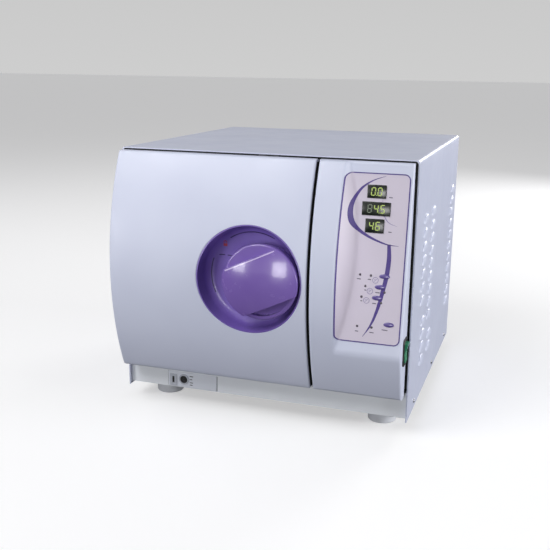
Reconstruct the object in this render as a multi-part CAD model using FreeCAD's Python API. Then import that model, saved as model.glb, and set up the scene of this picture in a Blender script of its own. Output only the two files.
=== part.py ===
import FreeCAD, Part
import math
import os

# Benchtop steam autoclave.  Everything is drawn with X across (0 in the middle), Y back from
# the cover's front edge and Z up from the cover's lower edge, then moved on export so that the
# feet stand on Z = 0 and the whole machine is centred in Y.

V = FreeCAD.Vector

# Driving dimensions, mm
W, D, H = 484.0, 486.0, 411.0        # sheet cover: width, depth, height
FOOT_DROP = 23.7                     # feet bottoms below the cover's lower edge
MID_Y = 216.0                        # middle of the whole depth, knob to safety valve
SHEET = 1.2                          # cover sheet
LIP = 2.0                            # hem along the cover's front and rear edges
PAN_Z = 4.0                          # underside of the base pan
PAN = 1.5                            # base pan and rear panel sheet
PAN_FRONT, PAN_BACK = 8.0, 483.3     # front strip of the pan, set back, and its rear edge
STRIP_TOP = 46.0                     # top of the front strip
COVER_SCREWS_Y = (62.0, 258.0, 432.0)
FOOT_R, FOOT_STUD_R = 23.0, 4.0      # foot where it stands, its stud through the pan
PANEL_TOP = H - 2.5                  # top edge of bulkhead, partition and rear panel
INNER_W = W - 11.0                   # width of the panels inside the cover

# Bulged front: a cylinder about a horizontal axis across the machine
ARC_R, ARC_Y, ARC_Z = 428.5, 369.0, 219.0
FRONT_Z0, FRONT_Z1 = 45.0, 407.0     # bottom and top of door and fascia
FRONT_BACK = -4.0                    # rear edge of door and fascia shells
WALL = 3.0                           # plastic wall
DOOR_X0, DOOR_X1 = -240.0, 91.0
FASCIA_X0, FASCIA_X1 = 95.0, 236.5

# Tilted control recess in the fascia
RECESS_X, RECESS_TOP = 135.4, 391.0  # left edge of the recess on the bulge, at its top
RECESS_LEAN = math.radians(0.66)     # lean of that edge, its foot further left
RECESS_SLOPE = 0.8                   # sideways run of its left wall per mm of depth
PANEL_Y, PANEL_Z = -48.0, 118.0      # where the panel plane leaves the bulge
TILT = math.atan(0.133)              # lean of the panel plane
OVERLAY = 0.6                        # printed overlay

# Handle well and knob
WELL_X, WELL_Z = -2.4, 222.0
WELL_R, WELL_FLOOR, WELL_DRAFT = 78.0, -28.0, 0.175
WELL_WALL = 2.5
KNOB_X, KNOB_Z = 18.5, 222.0
KNOB_R, KNOB_BAND, KNOB_TURN = 60.5, 39.0, 25.0
KNOB_FRONT, KNOB_STEP, KNOB_BACK = -77.0, -62.0, -31.0
KNOB_DOME = 170.0                    # dome radius of the grip band
SPINDLE_R = 6.0

# Lock: pinion on the spindle, two toothed bolts
PITCH_R = 10.0
TEETH = 16
BOLT_TRAVEL = PITCH_R * math.pi / 2
BOLT_W, BOLT_Y0, BOLT_Y1 = 10.0, -20.0, -10.0
BOLT_OFFSET = 16.8                   # bolt's middle to the spindle axis
BOLT_END = 146.0                     # bar's end above or below the spindle axis
PIN_R, PIN_Y, PIN_LEN = 4.5, 8.0, 13.0
KEEPER_Z = 163.0                     # keeper shelf above or below the spindle axis

# Door back plate, hinge and pressure plate
PLATE_Y0, PLATE_Y1 = -8.0, -4.0
HINGE_X, HINGE_Y = -228.0, -25.0
HINGES_Z = (100.0, 342.0)
PIN = 3.0                            # hinge pin radius
KNUCKLE_R, KNUCKLE_HALF = 7.0, 6.0
BULK_Y0, BULK_Y1 = 24.0, 26.0        # front bulkhead sheet
STUD_R = 14.0                        # stud that carries the pressure plate

# Pressure chamber
CX, CZ = -74.0, 222.0
CH_R, CH_T = 115.0, 2.5
CH_STRAIGHT, CH_END = 345.0, 392.0
FLANGE_R, FLANGE_Y = 131.0, 14.0
SEAL_R0, SEAL_R1 = 118.0, 127.0
BLANKET_R0, BLANKET_R1 = 124.0, 141.0

# Rear
REAR_Y = 480.0
FAN_X, FAN_Z, FAN_HALF = -80.0, 250.0, 60.0
PART_X = 92.0                        # partition beside the chamber

# Controls, each as (x, z) on the panel; windows also have their width and height
DISPLAYS = ((183.6, 364.3, 28.4, 19.6), (184.2, 339.3, 42.6, 20.0), (183.4, 314.3, 28.2, 20.6))
KEYS = ((203.4, 241.2), (197.8, 225.0), (194.5, 208.6), (214.6, 170.4))
LAMPS = ((166.5, 241.1), (183.0, 241.1), (175.6, 224.8), (170.7, 208.3), (167.1, 163.9),
         (189.1, 163.9), (204.9, 217.7), (200.7, 201.5))
KEY_W, KEY_H, KEY_TRAVEL = 15.5, 6.8, 0.6
LAMP_R = 2.1
BOARD_Y = 14.0                       # board behind the panel surface

# Power rocker in the fascia's side
ROCKER = V(233.8, -21.5, 125.0)
ROCKER_R = 16.6
ROCKER_REST = 7.0                    # degrees; it rests with its lower end pressed in
BEZEL_Y, BEZEL_Z = 11.4, 18.9        # half sizes of the switch body

# Service plate on the front strip
SERVICE_X0, SERVICE_X1, SERVICE_Z0, SERVICE_Z1 = -170.5, -81.5, 5.8, 31.8
PORT_X, PORT_Z, PORT_W, PORT_H = -160.6, 17.4, 13.3, 20.7
DRAIN = (-141.0, 19.8)

# Trays and their rack, heights from the chamber's axis
TRAY_LEVELS = (-46.0, -4.0, 38.0)
TRAY_W, TRAY_H = 170.0, 15.0
RACK_Y0, RACK_Y1 = 40.0, 330.0

# Pipes and rear fittings, each as (x, z)
NOZZLES = ((-34.0, 258.0), (-74.0, 150.0), (-40.0, 190.0))
NOZZLE_END = 396.0
PIPE_R, BEND = 4.0, 14.0
SAFETY = (40.0, 330.0)
BARB = (150.0, 120.0)
INLET = (180.0, 55.0)
PARTITION_HOLES = ((402.0, 258.0), (402.0, 150.0), (200.0, DRAIN[1]))     # (y, z)


def box(x0, x1, y0, y1, z0, z1):
    return Part.makeBox(x1 - x0, y1 - y0, z1 - z0, V(x0, y0, z0))


def rod(x, y, z, axis, r, length):
    return Part.makeCylinder(r, length, V(x, y, z), V(*axis))


def rod_x(x0, x1, y, z, r):
    return rod(x0, y, z, (1, 0, 0), r, x1 - x0)


def rod_y(y0, y1, x, z, r):
    return rod(x, y0, z, (0, 1, 0), r, y1 - y0)


def rod_z(z0, z1, x, y, r):
    return rod(x, y, z0, (0, 0, 1), r, z1 - z0)


def fuse(shapes):
    first = shapes[0]
    return first.multiFuse(shapes[1:]).removeSplitter() if len(shapes) > 1 else first


def group(solids):
    return Part.makeCompound(solids)


def rounded(shape, r, direction):
    """Round the straight edges that run along direction."""
    d = V(*direction)
    edges = [e for e in shape.Edges if isinstance(e.Curve, Part.Line)
             and abs(abs(e.tangentAt(e.FirstParameter).dot(d)) - 1) < 1e-6]
    return shape.makeFillet(r, edges)


def prism(points, along):
    return Part.Face(Part.makePolygon(points + [points[0]])).extrude(V(*along))


def turned(profile, x, z):
    """Turn a closed (radius, y) profile about the Y axis through (x, z)."""
    points = [V(x + r, y, z) for r, y in profile]
    face = Part.Face(Part.makePolygon(points + [points[0]]))
    return face.revolve(V(x, 0, z), V(0, 1, 0), 360)


def pipe(points, r, bend):
    """Round pipe along a path with bent corners."""
    pts = [V(*p) for p in points]
    edges, here = [], pts[0]
    for before, corner, after in zip(pts, pts[1:], pts[2:]):
        a, b = (before - corner).normalize(), (after - corner).normalize()
        start, end = corner + a * bend, corner + b * bend
        mid = corner + (a + b) * (bend * (1 - math.sqrt(0.5)))
        edges += [Part.LineSegment(here, start).toShape(), Part.Arc(start, mid, end).toShape()]
        here = end
    edges.append(Part.LineSegment(here, pts[-1]).toShape())
    section = Part.Wire(Part.makeCircle(r, pts[0], pts[1] - pts[0]))
    return Part.Wire(edges).makePipeShell([section], True, False)


def wire_between(a, b, r):
    a, b = V(*a), V(*b)
    return Part.makeCylinder(r, (b - a).Length, a, b - a)


def screw(x, y, z, axis, head_r=3.5, head=2.2, shank=8.0):
    """Pan-head screw: axis points out of the surface it sits on."""
    top = rod(x, y, z, axis, head_r, head)
    top = top.makeFillet(head * 0.6, [e for e in top.Edges if abs(
        (e.CenterOfMass - V(x, y, z)).dot(V(*axis)) - head) < 1e-6 and len(e.Vertexes) == 1])
    inward = tuple(-a for a in axis)
    return fuse([top, rod(x, y, z, inward, head_r * 0.5, shank)])


# ---------------------------------------------------------------- sheet metal

def louvre(y, z):
    """Pressed hood over a slot in the right side, and the slot to cut behind it."""
    length, out, wall = 46.0, 3.0, 1.0
    x, y0, y1 = W / 2, y - length / 2, y + length / 2
    hood = prism([V(x - SHEET, y0, z - 5), V(x + out, y0, z - 5), V(x, y0, z + 6),
                  V(x - SHEET, y0, z + 6)], (0, length, 0))
    slot = prism([V(x - 5, y0 + wall, z - 6), V(x + out - wall, y0 + wall, z - 6),
                  V(x + out - wall - 0.2, y0 + wall, z - 5), V(x - 0.3, y0 + wall, z + 3.5),
                  V(x - 5, y0 + wall, z + 3.5)], (0, length - 2 * wall, 0))
    return hood, slot


def louvre_places():
    pitch = 22.4
    places = [(98.0, 130 + pitch * k) for k in range(2, 9)]
    places += [(179.0, 130 + pitch * k) for k in range(9)]
    places += [(119.0, 67 + pitch * k) for k in range(4)]
    places += [(197.0, 67 + pitch * k) for k in range(2)]
    places += [(428.0, 89 + pitch * k) for k in range(11)]
    return places


def mirrored(shape):
    return shape.mirror(V(0, 0, 0), V(1, 0, 0))


def wrap_cover():
    bend = 5.0
    outer = box(-W / 2, W / 2, 0, D, 0, H)
    outer = rounded(outer, bend, (0, 1, 0)).cut(box(-W, W, -1, D + 1, -1, bend))
    outer = outer.fuse(box(-W / 2, W / 2, 0, D, 0, bend)).removeSplitter()
    inner = box(-W / 2 + SHEET, W / 2 - SHEET, -1, D + 1, -20, H - SHEET)
    inner = rounded(inner, bend - SHEET, (0, 1, 0)).fuse(
        box(-W / 2 + SHEET, W / 2 - SHEET, -1, D + 1, -20, 10))
    shell = outer.cut(inner)
    opening = box(-W / 2 + LIP, W / 2 - LIP, -1, D + 1, -1, H - LIP)
    lips = [outer.common(box(-W, W, y, y + SHEET, 0, H)).cut(opening) for y in (0, D - SHEET)]
    shell = fuse([shell] + lips)
    hoods, slots = [], []
    for y, z in louvre_places():
        hood, slot = louvre(y, z)
        hoods += [hood, mirrored(hood)]
        slots += [slot, mirrored(slot)]
    holes = [rod_x(-W, W, y, PAN_Z + 10, 1.75) for y in COVER_SCREWS_Y]
    return shell.multiFuse(hoods).cut(group(slots + holes)).removeSplitter()


def cover_screws():
    places = [(y, PAN_Z + 10) for y in COVER_SCREWS_Y]
    right = [screw(W / 2, y, z, (1, 0, 0), shank=SHEET + PAN + 3) for y, z in places]
    return right + [mirrored(s) for s in right]


def base_pan():
    half, rim = W / 2 - SHEET - 0.3, 26.0
    floor = box(-half, half, PAN_FRONT, PAN_BACK, PAN_Z, PAN_Z + PAN)
    strip = box(-half, half, PAN_FRONT, PAN_FRONT + PAN, PAN_Z, STRIP_TOP)
    shelf = box(-half, half, PAN_FRONT, PAN_FRONT + 11, STRIP_TOP - PAN, STRIP_TOP)
    side = box(half - PAN, half, PAN_FRONT, PAN_BACK, PAN_Z, rim)
    rear = box(-half, half, PAN_BACK - PAN, PAN_BACK, PAN_Z, rim)
    pan = fuse([floor, strip, shelf, rear, side, mirrored(side)])
    port = box(PORT_X - 2, PORT_X + 2, PAN_FRONT - 1, PAN_FRONT + 4, PORT_Z - 6.5, PORT_Z + 6.5)
    holes = [rod_y(PAN_FRONT - 1, PAN_FRONT + 4, *DRAIN, 7.0), port]
    holes += [rod_z(0, 10, x, y, FOOT_STUD_R) for x, y in feet_places()]
    holes += [rod_x(-W, W, y, PAN_Z + 10, 1.75) for y in COVER_SCREWS_Y]
    vents = [rounded(box(120, 180, y - 2.5, y + 2.5, 0, 10), 2.4, (0, 0, 1))
             for y in range(240, 401, 16)]
    return pan.cut(group(holes + vents))


def feet_places():
    inset_x, inset_y = 50.0, 60.5
    return [(sx * (W / 2 - inset_x), y) for sx in (-1, 1) for y in (inset_y, D - inset_y)]


def feet():
    result = []
    for x, y in feet_places():
        body = Part.makeCone(FOOT_R, FOOT_R + 2, FOOT_DROP + PAN_Z, V(x, y, -FOOT_DROP), V(0, 0, 1))
        body = body.makeFillet(2.0, [e for e in body.Edges if len(e.Vertexes) == 1])
        stud = rod_z(PAN_Z, PAN_Z + PAN, x, y, FOOT_STUD_R - 0.02)
        nut = rod_z(PAN_Z + PAN, PAN_Z + PAN + 5, x, y, 7.0)
        result.append(fuse([body, stud, nut]))
    return group(result)


def front_bulkhead():
    half = INNER_W / 2
    plate = box(-half, half, BULK_Y0, BULK_Y1, PAN_Z + PAN, PANEL_TOP)
    flanges = [box(s * half - (1.5 if s > 0 else 0), s * half + (0 if s > 0 else 1.5), BULK_Y1,
                   BULK_Y1 + 15, PAN_Z + PAN, PANEL_TOP) for s in (-1, 1)]
    mouth = rod_y(BULK_Y0 - 1, BULK_Y1 + 1, CX, CZ, CH_R + CH_T)
    loom = rod_y(BULK_Y0 - 1, BULK_Y1 + 1, 150, 260, 18)
    bolts = [rod_y(BULK_Y0 - 1, BULK_Y1 + 1, x, z, 2.5) for x, z in flange_bolt_places()]
    drain = rod_y(BULK_Y0 - 1, BULK_Y1 + 1, *DRAIN, 8.0)
    return fuse([plate] + flanges).cut(group([mouth, loom, drain] + bolts))


def partition():
    z0 = PAN_Z + PAN
    sheet = box(PART_X, PART_X + 1.5, BULK_Y1, REAR_Y, z0, PANEL_TOP)
    foot = box(PART_X, PART_X + 14, BULK_Y1 + 20, REAR_Y - 2, z0, z0 + 1.5)
    holes = [rod_x(PART_X - 1, PART_X + 15, y, z, 7.0) for y, z in PARTITION_HOLES]
    return fuse([sheet, foot]).cut(group(holes))


def rear_panel():
    half = INNER_W / 2
    plate = box(-half, half, REAR_Y, REAR_Y + PAN, PAN_Z + PAN, PANEL_TOP)
    cuts = [rod_y(REAR_Y - 1, REAR_Y + 3, FAN_X, FAN_Z, 55)]
    cuts += [rod_y(REAR_Y - 1, REAR_Y + 3, x, z, 2.2) for x, z in fan_screw_places()]
    cuts += [rod_y(REAR_Y - 1, REAR_Y + 3, x, z, 1.6) for x, z in edge_screw_places()]
    cuts += [rod_y(REAR_Y - 1, REAR_Y + 3, *SAFETY, 11), rod_y(REAR_Y - 1, REAR_Y + 3, *BARB, 8)]
    cuts.append(box(INLET[0] - 14, INLET[0] + 14, REAR_Y - 1, REAR_Y + 3,
                    INLET[1] - 10.5, INLET[1] + 10.5))
    cuts += [rounded(box(120, 210, REAR_Y - 1, REAR_Y + 3, z, z + 5), 2.4, (0, 1, 0))
             for z in range(150, 361, 14)]
    return plate.cut(group(cuts))


# ---------------------------------------------------------------- bulged front

def bulge(x0, x1, inset=0.0, back=FRONT_BACK):
    """Solid behind the bulged front between x0 and x1, its surface moved in by inset."""
    r, z0, z1 = ARC_R - inset, FRONT_Z0 + inset, FRONT_Z1 - inset

    def on_arc(z):
        return V(x0, ARC_Y - math.sqrt(r * r - (z - ARC_Z) ** 2), z)
    a, m, b = on_arc(z0), on_arc(ARC_Z), on_arc(z1)
    c, d = V(x0, back, z1), V(x0, back, z0)
    edges = [Part.Arc(a, m, b).toShape()]
    edges += [Part.LineSegment(p, q).toShape() for p, q in ((b, c), (c, d), (d, a))]
    return Part.Face(Part.Wire(edges)).extrude(V(x1 - x0, 0, 0))


def eased(shape, r):
    """Round the front edges of a bulged solid: all but those at its rear edge."""
    edges = [e for e in shape.Edges if e.CenterOfMass.y < FRONT_BACK - 1
             and not (isinstance(e.Curve, Part.Line) and abs(e.tangentAt(0).y) > 0.9)]
    return shape.makeFillet(r, edges)


def well_cone(extra, floor):
    """Drafted round plug of the handle well, open to the front."""
    front = -75.0
    r_front = WELL_R + extra + WELL_DRAFT * (WELL_FLOOR - front)
    r_floor = WELL_R + extra + WELL_DRAFT * (WELL_FLOOR - floor)
    return Part.makeCone(r_front, r_floor, floor - front, V(WELL_X, front, WELL_Z), V(0, 1, 0))


def door_cover():
    shell = eased(bulge(DOOR_X0, DOOR_X1), 2.5)
    shell = shell.cut(bulge(DOOR_X0 + WALL, DOOR_X1 - WALL, WALL, FRONT_BACK + 1))
    shell = shell.cut(well_cone(WELL_WALL + 0.02, WELL_FLOOR + WELL_WALL))
    notch = KNUCKLE_HALF + 2.0
    notches = [box(DOOR_X0 - 1, DOOR_X0 + WALL + 1, HINGE_Y - 9, FRONT_BACK + 1,
                   z - notch, z + notch) for z in HINGES_Z]
    bosses = []
    for x, z in door_boss_places():
        post = rod_y(-70, PLATE_Y0, x, z, 5.0).common(bulge(DOOR_X0, DOOR_X1, WALL - 0.5))
        bosses.append(post)
    return fuse([shell.cut(group(notches))] + bosses)


def door_boss_places():
    return [(x, z) for x in (-190.0, 72.0) for z in (62.0, 384.0)]


def handle_well():
    well = well_cone(WELL_WALL, WELL_FLOOR + WELL_WALL).cut(well_cone(0.0, WELL_FLOOR))
    well = well.common(bulge(DOOR_X0, DOOR_X1))
    return well.cut(rod_y(WELL_FLOOR - 5, WELL_FLOOR + 10, KNOB_X, KNOB_Z, SPINDLE_R + 1.2))


def door_knob():
    skirt = Part.makeCone(KNOB_R - 1.5, KNOB_R - 6, KNOB_BACK - KNOB_STEP,
                          V(KNOB_X, KNOB_STEP, KNOB_Z), V(0, 1, 0))
    skirt = skirt.makeFillet(3.0, [e for e in skirt.Edges if abs(e.CenterOfMass.y - KNOB_STEP) < 0.1
                                   and len(e.Vertexes) == 1])
    disc = Part.makeCone(KNOB_R - 0.5, KNOB_R, 20, V(KNOB_X, KNOB_FRONT - 1, KNOB_Z), V(0, 1, 0))
    bar = box(-80, 80, KNOB_FRONT - 2, KNOB_STEP + 5, -KNOB_BAND, KNOB_BAND)
    bar.rotate(V(0, 0, 0), V(0, 1, 0), -KNOB_TURN)
    bar.translate(V(KNOB_X, 0, KNOB_Z))
    dome = Part.makeSphere(KNOB_DOME, V(KNOB_X, KNOB_FRONT + KNOB_DOME, KNOB_Z))
    band = disc.common(bar).common(dome)
    front = [e for e in band.Edges if e.CenterOfMass.y < KNOB_STEP - 3
             and e.BoundBox.YMax < KNOB_STEP - 2]
    band = band.makeFillet(1.6, front)
    knob = fuse([skirt, band])
    ring = rod_y(KNOB_STEP + 6, KNOB_BACK + 1, KNOB_X, KNOB_Z, 48)
    hub = rod_y(KNOB_STEP + 5, KNOB_BACK + 2, KNOB_X, KNOB_Z, 14)
    return knob.cut(ring.cut(hub)).cut(rod_y(KNOB_STEP + 4, KNOB_BACK + 1, KNOB_X, KNOB_Z,
                                             SPINDLE_R))


def lock_spindle():
    shaft = rod_y(KNOB_STEP + 4, -2.5, KNOB_X, KNOB_Z, SPINDLE_R)
    collar = rod_y(-23.5, -21.5, KNOB_X, KNOB_Z, 9.0)
    return fuse([shaft, collar])


def tooth_points(tip, root, pitch_angle, count):
    points = []
    for k in range(count):
        for r, share in ((root, -0.42), (tip, -0.18), (tip, 0.18), (root, 0.42)):
            a = pitch_angle * (k + share)
            points.append((r * math.cos(a), r * math.sin(a)))
    return points


def lock_pinion():
    outline = tooth_points(PITCH_R - 0.1, PITCH_R - 2.4, 2 * math.pi / TEETH, TEETH)
    points = [V(KNOB_X + a, BOLT_Y0 - 1.4, KNOB_Z + b) for a, b in outline]
    gear = prism(points, (0, BOLT_Y1 - BOLT_Y0 + 1.4, 0))
    return gear.cut(rod_y(-30, 0, KNOB_X, KNOB_Z, SPINDLE_R))


def lock_bolt(side):
    """Toothed bolt: side +1 is left of the spindle and locks upwards, -1 the other way."""
    x = -BOLT_OFFSET * side
    z_tail, z_end = -20.0 * side, BOLT_END * side
    lo, hi = min(z_tail, z_end), max(z_tail, z_end)
    bar = box(x - BOLT_W / 2, x + BOLT_W / 2, BOLT_Y0, BOLT_Y1, lo, hi)
    crank_z = z_end - 16.0 * side
    crank = box(x - BOLT_W / 2, x + BOLT_W / 2, BOLT_Y0, PIN_Y + 6,
                min(crank_z, z_end), max(crank_z, z_end))
    pin = rod(x, PIN_Y, z_end, (0, 0, side), PIN_R, PIN_LEN)
    pin = pin.makeFillet(1.5, [e for e in pin.Edges if abs(e.CenterOfMass.z - z_end
                                                          - side * PIN_LEN) < 1e-3])
    pitch = 2 * math.pi * PITCH_R / TEETH
    face = x + side * BOLT_W / 2
    teeth = [prism([V(face, BOLT_Y0, c - 0.42 * pitch), V(face + 1.5 * side, BOLT_Y0, c - 0.2 * pitch),
                    V(face + 1.5 * side, BOLT_Y0, c + 0.2 * pitch), V(face, BOLT_Y0, c + 0.42 * pitch)],
                   (0, BOLT_Y1 - BOLT_Y0, 0)) for c in (pitch * (k + 0.5) for k in range(-5, 5))]
    bolt = fuse([bar, crank, pin] + teeth)
    bolt.translate(V(KNOB_X, 0, KNOB_Z))
    return bolt


def bolt_guides():
    gap, wall = 0.3, 4.0
    result = []
    for side in (1, -1):
        x = KNOB_X - BOLT_OFFSET * side
        for dz in (50.0, 108.0):
            z = KNOB_Z + dz * side
            block = box(x - BOLT_W / 2 - wall, x + BOLT_W / 2 + wall, BOLT_Y0 - 2.5, PLATE_Y0,
                        z - 8, z + 8)
            channel = box(x - BOLT_W / 2 - gap, x + BOLT_W / 2 + gap, BOLT_Y0 - gap,
                          BOLT_Y1 + gap, z - 10, z + 10)
            result.append(block.cut(channel))
    return group(result)


def lock_keepers():
    """Welded frame that each pin slides up into: base on the bulkhead, two arms and a front bar."""
    thick, bar_t, arm_in, arm_out = 6.0, 3.0, 6.0, 12.0
    result = []
    for side in (1, -1):
        x = KNOB_X - BOLT_OFFSET * side
        near, far = (KNOB_Z + v * side for v in (KEEPER_Z, KEEPER_Z + thick))
        lo, hi = sorted((near, far))
        base = sorted((near - 10 * side, far + 15 * side))
        result.append(box(x - 16, x + 16, BULK_Y0 - 3, BULK_Y0, *base))
        result.append(box(x - arm_out, x - arm_in, bar_t, BULK_Y0 - 3, lo, hi))
        result.append(box(x + arm_in, x + arm_out, bar_t, BULK_Y0 - 3, lo, hi))
        result.append(box(x - arm_out, x + arm_out, 0, bar_t, lo, hi))
    return group(result)


def door_backplate():
    x0, x1 = DOOR_X0 + WALL + 0.5, DOOR_X1 - WALL - 0.5
    plate = box(x0, x1, PLATE_Y0, PLATE_Y1, FRONT_Z0 + WALL + 0.5, FRONT_Z1 - WALL - 0.5)
    cuts = [box(x0 - 1, HINGE_X + 16, PLATE_Y0 - 1, PLATE_Y1 + 1, z - 24, z + 24)
            for z in HINGES_Z]
    for side in (1, -1):
        x = KNOB_X - BOLT_OFFSET * side
        ends = sorted((KNOB_Z + side * (BOLT_END - 17), KNOB_Z + side * (BOLT_END + BOLT_TRAVEL + 1)))
        cuts.append(box(x - BOLT_W / 2 - 1, x + BOLT_W / 2 + 1, PLATE_Y0 - 1, PLATE_Y1 + 1, *ends))
    cuts.append(rod_y(PLATE_Y0 - 1, PLATE_Y1 + 1, KNOB_X, KNOB_Z, SPINDLE_R + 0.05))
    cuts.append(rod_y(PLATE_Y0 - 1, PLATE_Y1 + 1, CX, CZ, STUD_R))
    cuts += [rod_y(PLATE_Y0 - 1, PLATE_Y1 + 1, x, z, 2.0) for x, z in door_boss_places()]
    return plate.cut(group(cuts))


def plate_stud():
    return fuse([rod_y(PLATE_Y1, 2, CX, CZ, 26), rod_y(-17, 2, CX, CZ, STUD_R),
                 rod_y(-13, PLATE_Y0, CX, CZ, 22)])


def pressure_plate():
    rim, groove = 129.0, 2.0
    disc = rod_y(2, 10, CX, CZ, rim)
    seat = rod_y(10 - groove, 11, CX, CZ, SEAL_R1).cut(rod_y(0, 12, CX, CZ, SEAL_R0))
    dome_r, dome_h = 98.0, 10.0
    big = (dome_r ** 2 + dome_h ** 2) / (2 * dome_h)
    dome = Part.makeSphere(big, V(CX, 10 + dome_h - big, CZ)).common(rod_y(9, 30, CX, CZ, 120))
    return fuse([disc.cut(seat), dome])


def door_seal():
    edge = 1.5
    return turned([(SEAL_R0, 8), (SEAL_R1, 8), (SEAL_R1, 12.0), (SEAL_R1 - edge, 13.6),
                   (SEAL_R0 + edge, 13.6), (SEAL_R0, 12.0)], CX, CZ)


def hinge_brackets():
    result = []
    for z in HINGES_Z:
        arm = box(HINGE_X - 5, HINGE_X + 5, HINGE_Y, BULK_Y0 - 3, z - KNUCKLE_HALF,
                  z + KNUCKLE_HALF)
        knuckle = rod_z(z - KNUCKLE_HALF, z + KNUCKLE_HALF, HINGE_X, HINGE_Y, KNUCKLE_R)
        foot = box(HINGE_X - 7, HINGE_X + 23, BULK_Y0 - 4, BULK_Y0, z - 22, z + 22)
        gusset = box(HINGE_X - 5, HINGE_X + 5, 2, BULK_Y0 - 3, z - 12, z + 12)
        hole = rod_z(z - 10, z + 10, HINGE_X, HINGE_Y, PIN)
        result.append(fuse([arm, knuckle, foot, gusset]).cut(hole))
    return group(result)


def hinge_leaves():
    result = []
    for z in HINGES_Z:
        parts = [box(HINGE_X + 12, HINGE_X + 44, PLATE_Y0 - 4, PLATE_Y0, z - 18, z + 18)]
        for lo, hi in ((KNUCKLE_HALF + 0.4, 18.0), (-18.0, -KNUCKLE_HALF - 0.4)):
            parts.append(rod_z(z + lo, z + hi, HINGE_X, HINGE_Y, KNUCKLE_R))
            parts.append(box(HINGE_X + 2, HINGE_X + 18, HINGE_Y - 6.5, HINGE_Y - 0.5, z + lo, z + hi))
            parts.append(box(HINGE_X + 12, HINGE_X + 18, HINGE_Y - 6.5, PLATE_Y0, z + lo, z + hi))
        hole = rod_z(z - 20, z + 20, HINGE_X, HINGE_Y, PIN + 0.05)
        result.append(fuse(parts).cut(hole))
    return group(result)


def hinge_pins():
    return group([fuse([rod_z(z - 19.5, z + 18.4, HINGE_X, HINGE_Y, PIN),
                        rod_z(z + 18.4, z + 20.4, HINGE_X, HINGE_Y, PIN + 1.5)])
                  for z in HINGES_Z])


# ---------------------------------------------------------------- fascia and controls

def panel_y(z):
    return PANEL_Y + math.tan(TILT) * (z - PANEL_Z)


def on_panel(shape):
    """Move a shape drawn with the panel surface at y = 0 and z up the slope."""
    shape.rotate(V(0, 0, 0), V(1, 0, 0), -math.degrees(TILT))
    shape.translate(V(0, PANEL_Y, PANEL_Z))
    return shape


def up_slope(z):
    return (z - PANEL_Z) / math.cos(TILT)


def recess(inset=0.0):
    """Everything in front of the panel plane and right of the sloping left wall."""
    x0, top, margin = RECESS_X - inset, 430.0, 12.0
    back = inset / math.cos(TILT)
    front = prism([V(x0 - margin, panel_y(80) + back, 80), V(x0 - margin, panel_y(top) + back, top),
                   V(x0 - margin, -120, top), V(x0 - margin, -120, 80)],
                  (FASCIA_X1 + 10 - x0 + margin, 0, 0))
    r, tall, depth = ARC_R - inset, 200.0, 60.0

    def on_arc(z):
        return V(x0, ARC_Y - math.sqrt(r * r - (z - ARC_Z) ** 2), z)
    a, m, b = on_arc(ARC_Z - tall), on_arc(ARC_Z), on_arc(ARC_Z + tall + 15)
    c, d = V(x0, depth, b.z), V(x0, depth, a.z)
    edges = [Part.Arc(a, m, b).toShape()]
    edges += [Part.LineSegment(p, q).toShape() for p, q in ((b, c), (c, d), (d, a))]
    side = Part.Face(Part.Wire(edges))
    kept = fuse([side.extrude(V(RECESS_SLOPE * depth, depth, 0)), side.extrude(V(-2 * margin, 0, 0))])
    kept.rotate(V(RECESS_X, 0, RECESS_TOP), V(0, 1, 0), math.degrees(RECESS_LEAN))
    return front.cut(kept)


def panel_holes(reach, grow=0.0):
    """Cutters for windows, keys and lamps through the panel."""
    cuts = []
    for x, z, w, h in DISPLAYS:
        s, w, h = up_slope(z), w + 2 * grow, h + 2 * grow
        cuts.append(on_panel(box(x - w / 2, x + w / 2, -5, reach, s - h / 2, s + h / 2)))
    for x, z in KEYS:
        cuts.append(on_panel(key_shape(x, up_slope(z), -5, reach, 0.25 + grow)))
    for x, z in LAMPS:
        cuts.append(on_panel(rod_y(-5, reach, x, up_slope(z), LAMP_R + 0.1 + grow)))
    return group(cuts)


def key_shape(x, s, y0, y1, extra=0.0):
    w, h = KEY_W / 2 + extra, KEY_H / 2 + extra
    return rounded(box(x - w, x + w, y0, y1, s - h, s + h), h * 0.98, (0, 1, 0))


def fascia():
    outer = eased(bulge(FASCIA_X0, FASCIA_X1), 2.5).cut(recess())
    inner = bulge(FASCIA_X0 + WALL, FASCIA_X1 - WALL, WALL, FRONT_BACK + 1).cut(recess(WALL))
    posts = []
    for x in (FASCIA_X0 + 9, FASCIA_X1 - 9):
        for z in (FRONT_Z0 + 13, FRONT_Z1 - 12):
            post = rod_y(-70, BULK_Y0, x, z, 5.0)
            posts.append(post.common(bulge(FASCIA_X0, FASCIA_X1, 1.0, BULK_Y0).cut(recess(1.0))))
    shell = fuse([outer.cut(inner)] + posts)
    side = box(FASCIA_X1 - 5, FASCIA_X1 + 5, ROCKER.y - BEZEL_Y - 0.1, ROCKER.y + BEZEL_Y + 0.1,
               ROCKER.z - BEZEL_Z - 0.1, ROCKER.z + BEZEL_Z + 0.1)
    return shell.cut(group([panel_holes(6.0), side]))


def panel_overlay():
    left, right, top, bottom = 159.4, 231.0, 391.5, 141.0
    s0, s1 = up_slope(bottom), up_slope(top)
    sheet = rounded(box(left, right, -OVERLAY, 0, s0, s1), 8.0, (0, 1, 0))
    return on_panel(sheet).cut(panel_holes(1.0, 0.05))


def display_modules():
    result = []
    for x, z, w, h in DISPLAYS:
        s = up_slope(z)
        result.append(on_panel(box(x - w / 2 + 0.2, x + w / 2 - 0.2, -0.4, BOARD_Y,
                                   s - h / 2 + 0.2, s + h / 2 - 0.2)))
    return group(result)


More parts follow.
